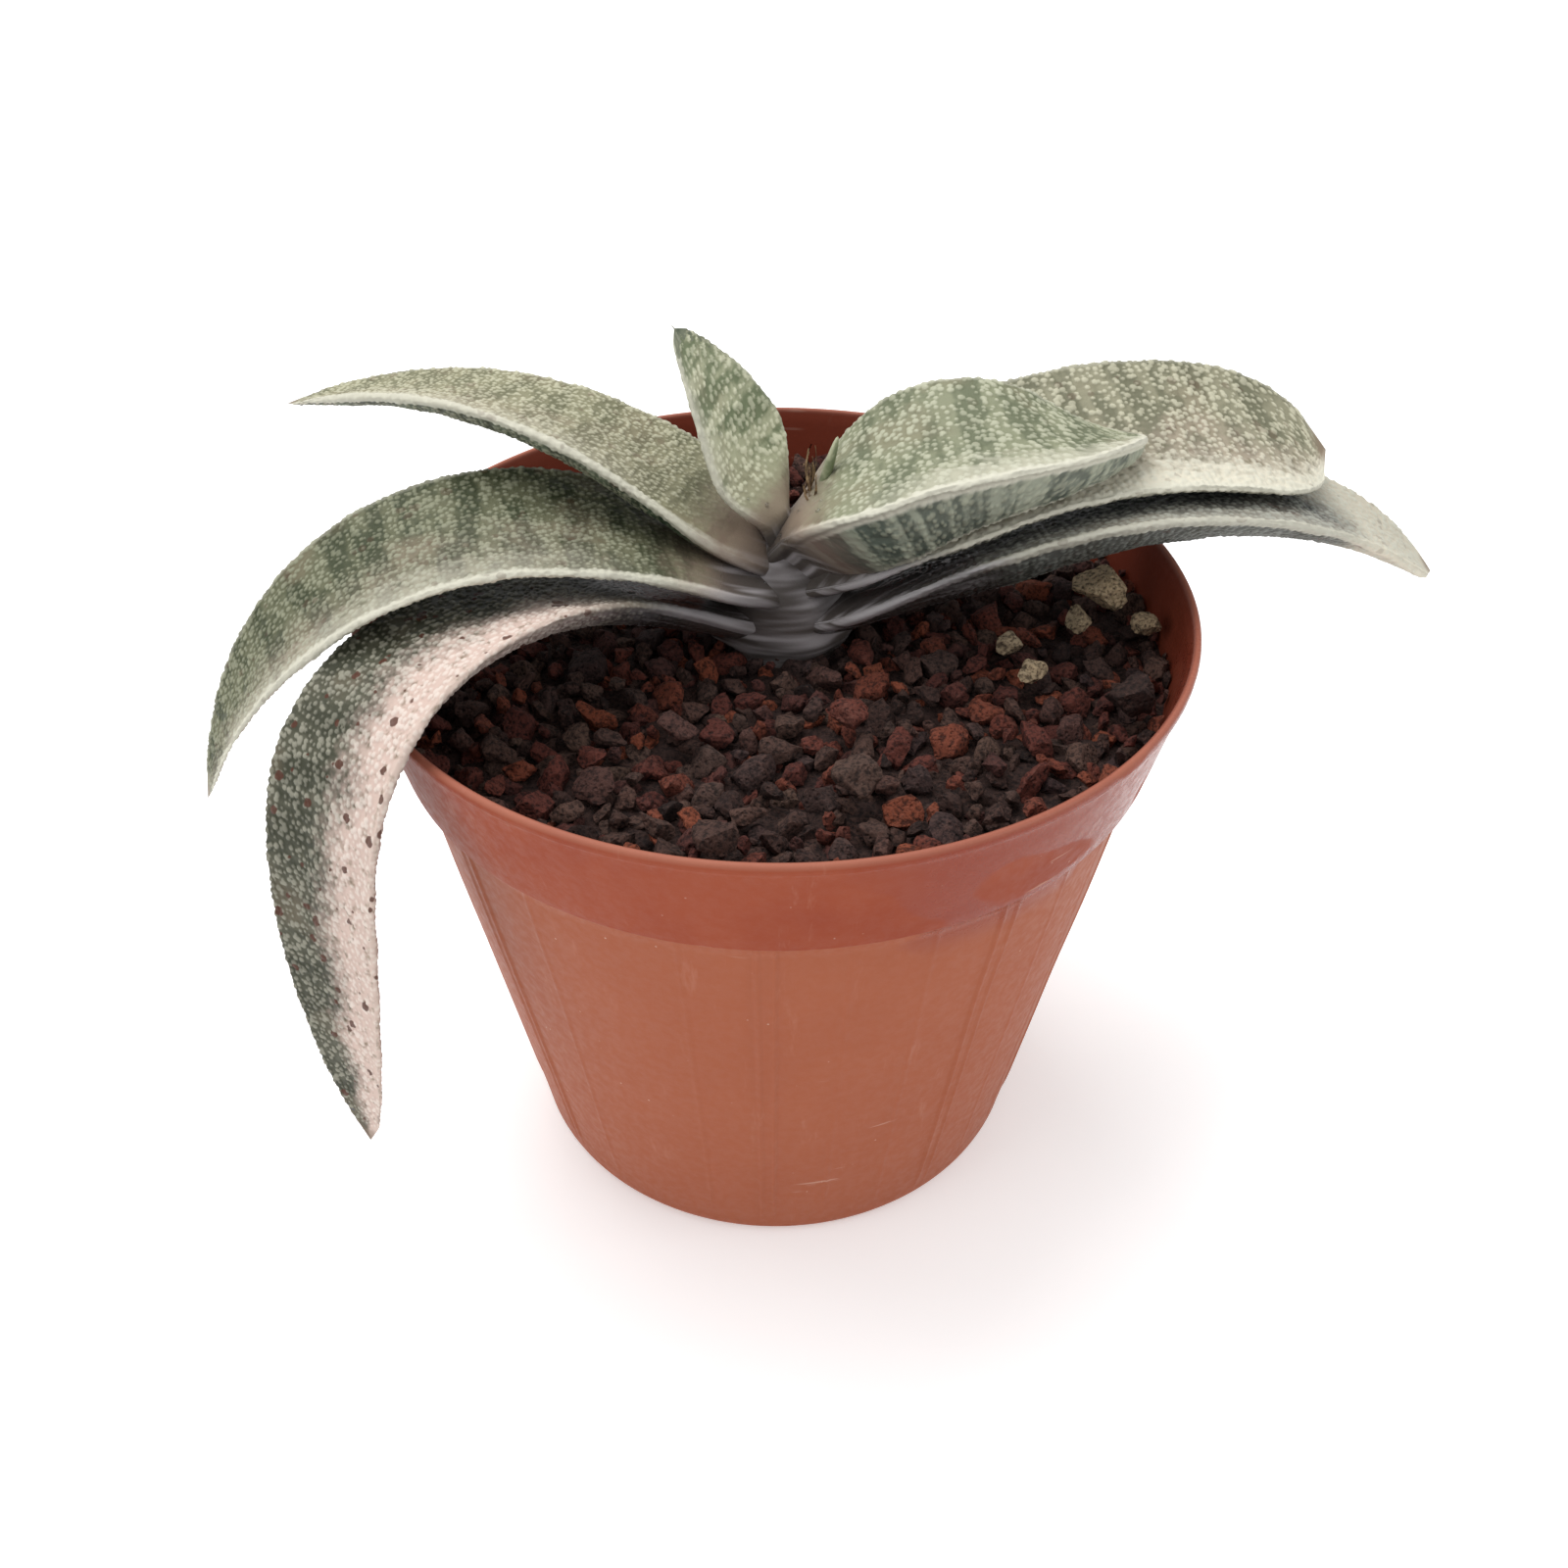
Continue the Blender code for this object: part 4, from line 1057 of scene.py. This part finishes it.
def soup(name, parts):
    """One object from several (points, triangles, tints)."""
    points = np.vstack([part[0] for part in parts])
    starts = np.cumsum([0] + [len(part[0]) for part in parts[:-1]])
    faces = np.vstack([part[1] + start for part, start in zip(parts, starts)])
    mesh = bpy.data.meshes.new(name)
    mesh.vertices.add(len(points))
    mesh.vertices.foreach_set("co", points.ravel())
    mesh.loops.add(faces.size)
    mesh.loops.foreach_set("vertex_index", faces.ravel())
    mesh.polygons.add(len(faces))
    mesh.polygons.foreach_set("loop_start", np.arange(len(faces)) * 3)
    layer = mesh.attributes.new("tint", "FLOAT", "POINT")
    layer.data.foreach_set("value", np.concatenate([part[2] for part in parts]))
    mesh.update()
    mesh.validate()
    mesh.shade_smooth()
    mesh.set_sharp_from_angle(angle=SHARP_ANGLE)
    obj = bpy.data.objects.new(name, mesh)
    bpy.context.scene.collection.objects.link(obj)
    return obj


bed_points, bed_faces = bed()
lava = soup("lava_grains", [
    heap(top_spots, (-0.1, 1.0), draw),
    heap(low_spots, (-1.7, -0.7), draw),
    (bed_points, bed_faces, np.full(len(bed_points), 0.05)),
])
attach(lava, "root")
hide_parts("lava_grit")
print("lava", len(lava.data.vertices), "points")

# %% Large stones, one object each
def large_stone(name, seed, tint):
    """A stone with finer points than the grains, fitted into its CAD stone's box."""
    points = broken_stone(fine_ball[0], seed, facets=8, pits=0.14)
    low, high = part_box(name)
    size = np.array(high - low) / 2
    points = points / np.abs(points).max(0) * size * 0.98 + np.array((low + high) / 2)
    stone = soup(name + "_detail", [(points, fine_ball[1], np.full(len(points), tint))])
    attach(stone, "root")
    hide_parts(name)
    return stone


large_objects = {}
for number, name in enumerate(large_stones):
    large_objects[name] = large_stone(name, 60 + number, (number * 0.37 + 0.2) % 1.0)
print(len(large_objects), "large stones")

# %% [markdown]
# ## Stone colours
# Each grain carries one random tint, and a colour ramp turns the tint into one of the heap's colours. Fine
# noise paints shade into the pores and pale dust with a painted highlight on the crests, and a strong,
# very small bump makes the surface porous.

# %% Lava and pumice materials
def ramp_of(paint, value, stops):
    """A colour ramp: stops are (place, colour)."""
    made = paint.node("ShaderNodeValToRGB", {}, {0: value})
    ramp = made.socket.node.color_ramp
    while len(ramp.elements) < len(stops):
        ramp.elements.new(1.0)
    for element, (place, colour) in zip(ramp.elements, stops):
        element.position = place
        element.color = (*colour, 1)
    return made


def stone_material(name, stops, dust):
    paint = Paint(name, Roughness=0.9, Specular_IOR_Level=0.25)
    place = paint.node("ShaderNodeTexCoord", out=3)
    tint = paint.attribute("tint")
    colour = ramp_of(paint, tint, stops)
    pores = paint.noise(place, 1500, 4, 0.65)
    broad = paint.noise(place, 260, 2, 0.5)
    # Painted shade: the pits of the pore noise, which the bump also sinks, are darkened nearly to black.
    colour = paint.mix(paint.ramp(pores, 0.56, 0.36) * 0.75, colour, (0.006, 0.004, 0.004))
    # The crests of that noise take the last colour: pale dust, with a painted highlight.
    colour = paint.mix(paint.ramp(pores + 0.7 * (broad - 0.5), 0.56, 0.74) * 0.40, colour, dust)
    holes = paint.cells(place, 1100)
    normal = paint.bump(pores + paint.ramp(holes, 0.0, 0.4) * 0.7, 0.9, 0.0006)
    return paint.finish(Base_Color=colour, Normal=normal)


LAVA_STOPS = (
    (0.00, (0.024, 0.013, 0.011)), (0.12, (0.062, 0.032, 0.026)), (0.25, (0.090, 0.049, 0.037)),
    (0.35, (0.048, 0.027, 0.026)), (0.45, (0.105, 0.061, 0.045)), (0.55, (0.078, 0.033, 0.028)),
    (0.65, (0.092, 0.027, 0.021)), (0.75, (0.125, 0.034, 0.024)), (0.86, (0.160, 0.044, 0.028)),
    (0.96, (0.225, 0.060, 0.030)),
)
PUMICE_STOPS = (
    (0.00, (0.62, 0.47, 0.29)), (0.25, (0.62, 0.47, 0.29)), (0.32, (0.30, 0.23, 0.15)),
    (0.60, (0.42, 0.32, 0.20)), (1.00, (0.36, 0.26, 0.16)),
)
# The last colour of each is laid on the crests: pale dust, with a painted highlight.
lava_material = stone_material("lava_stone", LAVA_STOPS, (0.115, 0.060, 0.047))
pumice_material = stone_material("pumice_stone", PUMICE_STOPS, (0.52, 0.42, 0.29))
lava.data.materials.append(lava_material)
for name, stone in large_objects.items():
    stone.data.materials.append(pumice_material if name.startswith("pumice") else lava_material)

# %% [markdown]
# ## Pot plastic
# Moulded polypropylene is satin, a little uneven in gloss, and never clean: there are pale scratches from
# handling, dust, and here some water that has run over the collar and left darker, shinier patches.

# %% Pot material
def pot_material():
    paint = Paint("terracotta_plastic", IOR=1.46, Specular_IOR_Level=0.17)
    place = paint.node("ShaderNodeTexCoord", out=3)
    apart = paint.node("ShaderNodeSeparateXYZ", {}, {0: place})
    x = apart
    y = Value(paint, apart.socket.node.outputs[1])
    z = Value(paint, apart.socket.node.outputs[2])
    cloud = paint.noise(place, 45, 3, 0.6)
    fine = paint.noise(place, 700, 3, 0.6)
    colour = paint.mix(paint.ramp(cloud, 0.35, 0.70), (0.262, 0.042, 0.014), (0.300, 0.060, 0.023))
    collar = paint.ramp(z, COLLAR_FOOT - 0.3 * MM, COLLAR_FOOT + 0.3 * MM)
    colour = paint.mix((1 - collar) * 0.75, colour, (0.362, 0.108, 0.050))
    wet_shape = paint.noise(paint.stretch(place, (38, 38, 70)), 1, 1, 0.4)
    wet_side = paint.ramp(x, 5 * MM, 25 * MM) * paint.ramp(y, 5 * MM, -15 * MM)
    wet = paint.ramp(wet_shape, 0.50, 0.53) * wet_side * paint.ramp(z, 70 * MM, 76 * MM)
    colour = paint.mix(wet * 0.6, colour, (0.225, 0.030, 0.013))
    streak = paint.noise(paint.stretch(place, (300, 300, 16)), 1, 4, 0.7)
    colour = paint.mix(paint.ramp(streak, 0.60, 0.75) * 0.22, colour, (0.50, 0.24, 0.17))
    scratch = paint.noise(paint.stretch(place, (80, 80, 900)), 1, 2, 0.6)
    gate = paint.ramp(paint.noise(place, 60, 1, 0.5), 0.60, 0.68)
    colour = paint.mix(paint.ramp(scratch, 0.67, 0.72) * gate * 0.5, colour, (0.55, 0.33, 0.25))
    dusty = paint.ramp(paint.noise(place, 130, 1, 0.5), 0.56, 0.64)
    dust = paint.ramp(paint.cells(place, 420), 0.085, 0.03) * dusty
    colour = paint.mix(dust * 0.6, colour, (0.62, 0.48, 0.38))
    # Painted highlight: a paler band along the top of the rounded lip, where the light from above catches it.
    lip = paint.ramp(z, POT_HEIGHT - 0.9 * MM, POT_HEIGHT - 0.1 * MM)
    colour = paint.mix(lip * 0.35, colour, (0.52, 0.26, 0.19))
    # Painted shade: the inner face of the collar wall is painted much darker than the outside, for the shade
    # inside the pot.
    across = (x * x + y * y) ** 0.5
    at_foot = across - (z - COLLAR_FOOT) * (COLLAR_FLARE / COLLAR_HEIGHT)
    foot_radius = RIM_RADIUS - COLLAR_FLARE
    inside = paint.ramp(at_foot, foot_radius - 0.5 * WALL, foot_radius - 0.9 * WALL) * collar
    colour = paint.mix(inside * 0.6, colour, (0.13, 0.030, 0.020))
    roughness = paint.ramp(fine, 0.3, 0.7, 0.44, 0.60) - 0.26 * wet + 0.1 * dust
    normal = paint.bump(fine + 2.5 * cloud, 0.12, 0.0004)
    return paint.finish(Base_Color=colour, Roughness=roughness, Normal=normal)


pot.data.materials.append(pot_material())

# %% [markdown]
# ## Inside the pot
# The soil and the roots are hidden by the pot and the lava, but they keep their CAD shapes and get finished
# surfaces too, since a cut through the pot or a view from below through a drain hole shows them.

# %% Soil and roots
def tissue_material(name, dark, pale, scale):
    paint = Paint(name)
    place = paint.node("ShaderNodeTexCoord", out=3)
    grain = paint.noise(place, scale, 4, 0.65)
    colour = paint.mix(paint.ramp(grain, 0.35, 0.68), dark, pale)
    roughness = paint.ramp(grain, 0.3, 0.7, 0.75, 0.95)
    return paint.finish(Base_Color=colour, Roughness=roughness, Normal=paint.bump(grain, 0.6, 0.0008))


INNER_FINISHES = {
    "potting_mix": tissue_material("soil", (0.018, 0.011, 0.008), (0.10, 0.062, 0.040), 420),
    "root": tissue_material("root_tissue", (0.32, 0.24, 0.15), (0.58, 0.47, 0.33), 600),
}
for name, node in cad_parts.items():
    finish = INNER_FINISHES.get(name.rstrip("_1234"))  # root_1 to root_4 share one finish
    if finish:
        node.data.materials.clear()
        node.data.materials.append(finish)
        print(name, "gets", finish.name)

# %% [markdown]
# ## Small things
# A few things tell that the plant is alive and has just been watered: small drops in the crown, and dry
# brown shreds where an old leaf base has split.

# %% Drops of water
def drop_material():
    paint = Paint("water", Roughness=0.02, IOR=1.33, Transmission_Weight=1.0)
    paint.shader.inputs["Base Color"].default_value = (0.97, 0.98, 1.0, 1)
    return paint.finish()


def drops(count, seed):
    """Flat beads lying on the upper faces of the leaf bases."""
    draw = np.random.RandomState(seed)
    skins = [tree_of(leaf_objects[name]) for name in LEAVES]
    parts = []
    while len(parts) < count:
        x = CROWN[0] + draw.normal() * 5.5 * MM
        y = CROWN[1] - abs(draw.normal()) * 3.5 * MM
        hits = [tree.ray_cast(Vector((x, y, 0.2)), Vector((0, 0, -1))) for tree in skins]
        hits = [hit for hit in hits if hit[0]]
        if not hits:
            continue
        place, normal = max(hits, key=lambda hit: hit[0].z)[:2]
        radius = draw.uniform(0.25, 0.6) * MM
        points = coarse_ball[0] * radius * [1, 1, 0.6]
        turn = np.array(normal.to_track_quat("Z", "Y").to_matrix())
        points = points @ turn.T + np.array(place)
        parts.append((points, coarse_ball[1], np.full(len(points), 0.5)))
    return soup("water_drops", parts)


water = drops(9, 5)
water.data.materials.append(drop_material())
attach(water, "root")
print("drops", len(water.data.vertices), "points")

# %% Dry shreds of an old leaf base
SHRED_ROWS = 14


def shreds(count, seed):
    """Thin curled strips that stand where the CAD scrap stands."""
    draw = np.random.RandomState(seed)
    low, high = (np.array(corner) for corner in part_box("dried_sheath"))
    parts = []
    for _ in range(count):
        foot = np.array([draw.uniform(low[0], high[0]), draw.uniform(low[1], high[1]), low[2]])
        length = draw.uniform(0.5, 1.0) * (high[2] - low[2])
        width = draw.uniform(0.25, 0.7) * MM
        turn = draw.uniform(0, 2 * math.pi)
        curl = draw.uniform(-1.2, 1.2) * MM
        rows = np.linspace(0, 1, SHRED_ROWS)
        bend = np.stack([curl * np.sin(rows * 2.6), curl * np.cos(rows * 2) - curl, length * rows], 1)
        middle = foot + bend
        across = np.stack([np.cos(turn + rows * 1.5), np.sin(turn + rows * 1.5), 0 * rows], 1)
        half = width / 2 * (1 - 0.7 * rows)[:, None]
        thick = np.cross(across, [0, 0, 1]) * 0.06 * MM
        corners = [middle + across * half, middle + thick, middle - across * half, middle - thick]
        points = np.clip(np.stack(corners, 1), low, high).reshape(-1, 3)
        index = np.arange(4 * SHRED_ROWS).reshape(SHRED_ROWS, 4)
        after = np.roll(index, -1, 1)
        quads = np.stack([index[:-1], after[:-1], after[1:], index[1:]], -1).reshape(-1, 4)
        caps = np.vstack([[[0, 1, 2], [0, 2, 3]], index[-1, 0] + np.array([[0, 2, 1], [0, 3, 2]])])
        faces = np.vstack([quads[:, :3], quads[:, [0, 2, 3]], caps])
        parts.append((points, faces, np.full(4 * SHRED_ROWS, draw.uniform())))
    return soup("dried_shreds", parts)


scraps = shreds(14, 8)
scraps.data.materials.append(tissue_material("dry_sheath", (0.10, 0.055, 0.028), (0.36, 0.24, 0.13), 900))
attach(scraps, "root")
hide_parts("dried_sheath")
print("shreds", len(scraps.data.vertices), "points")
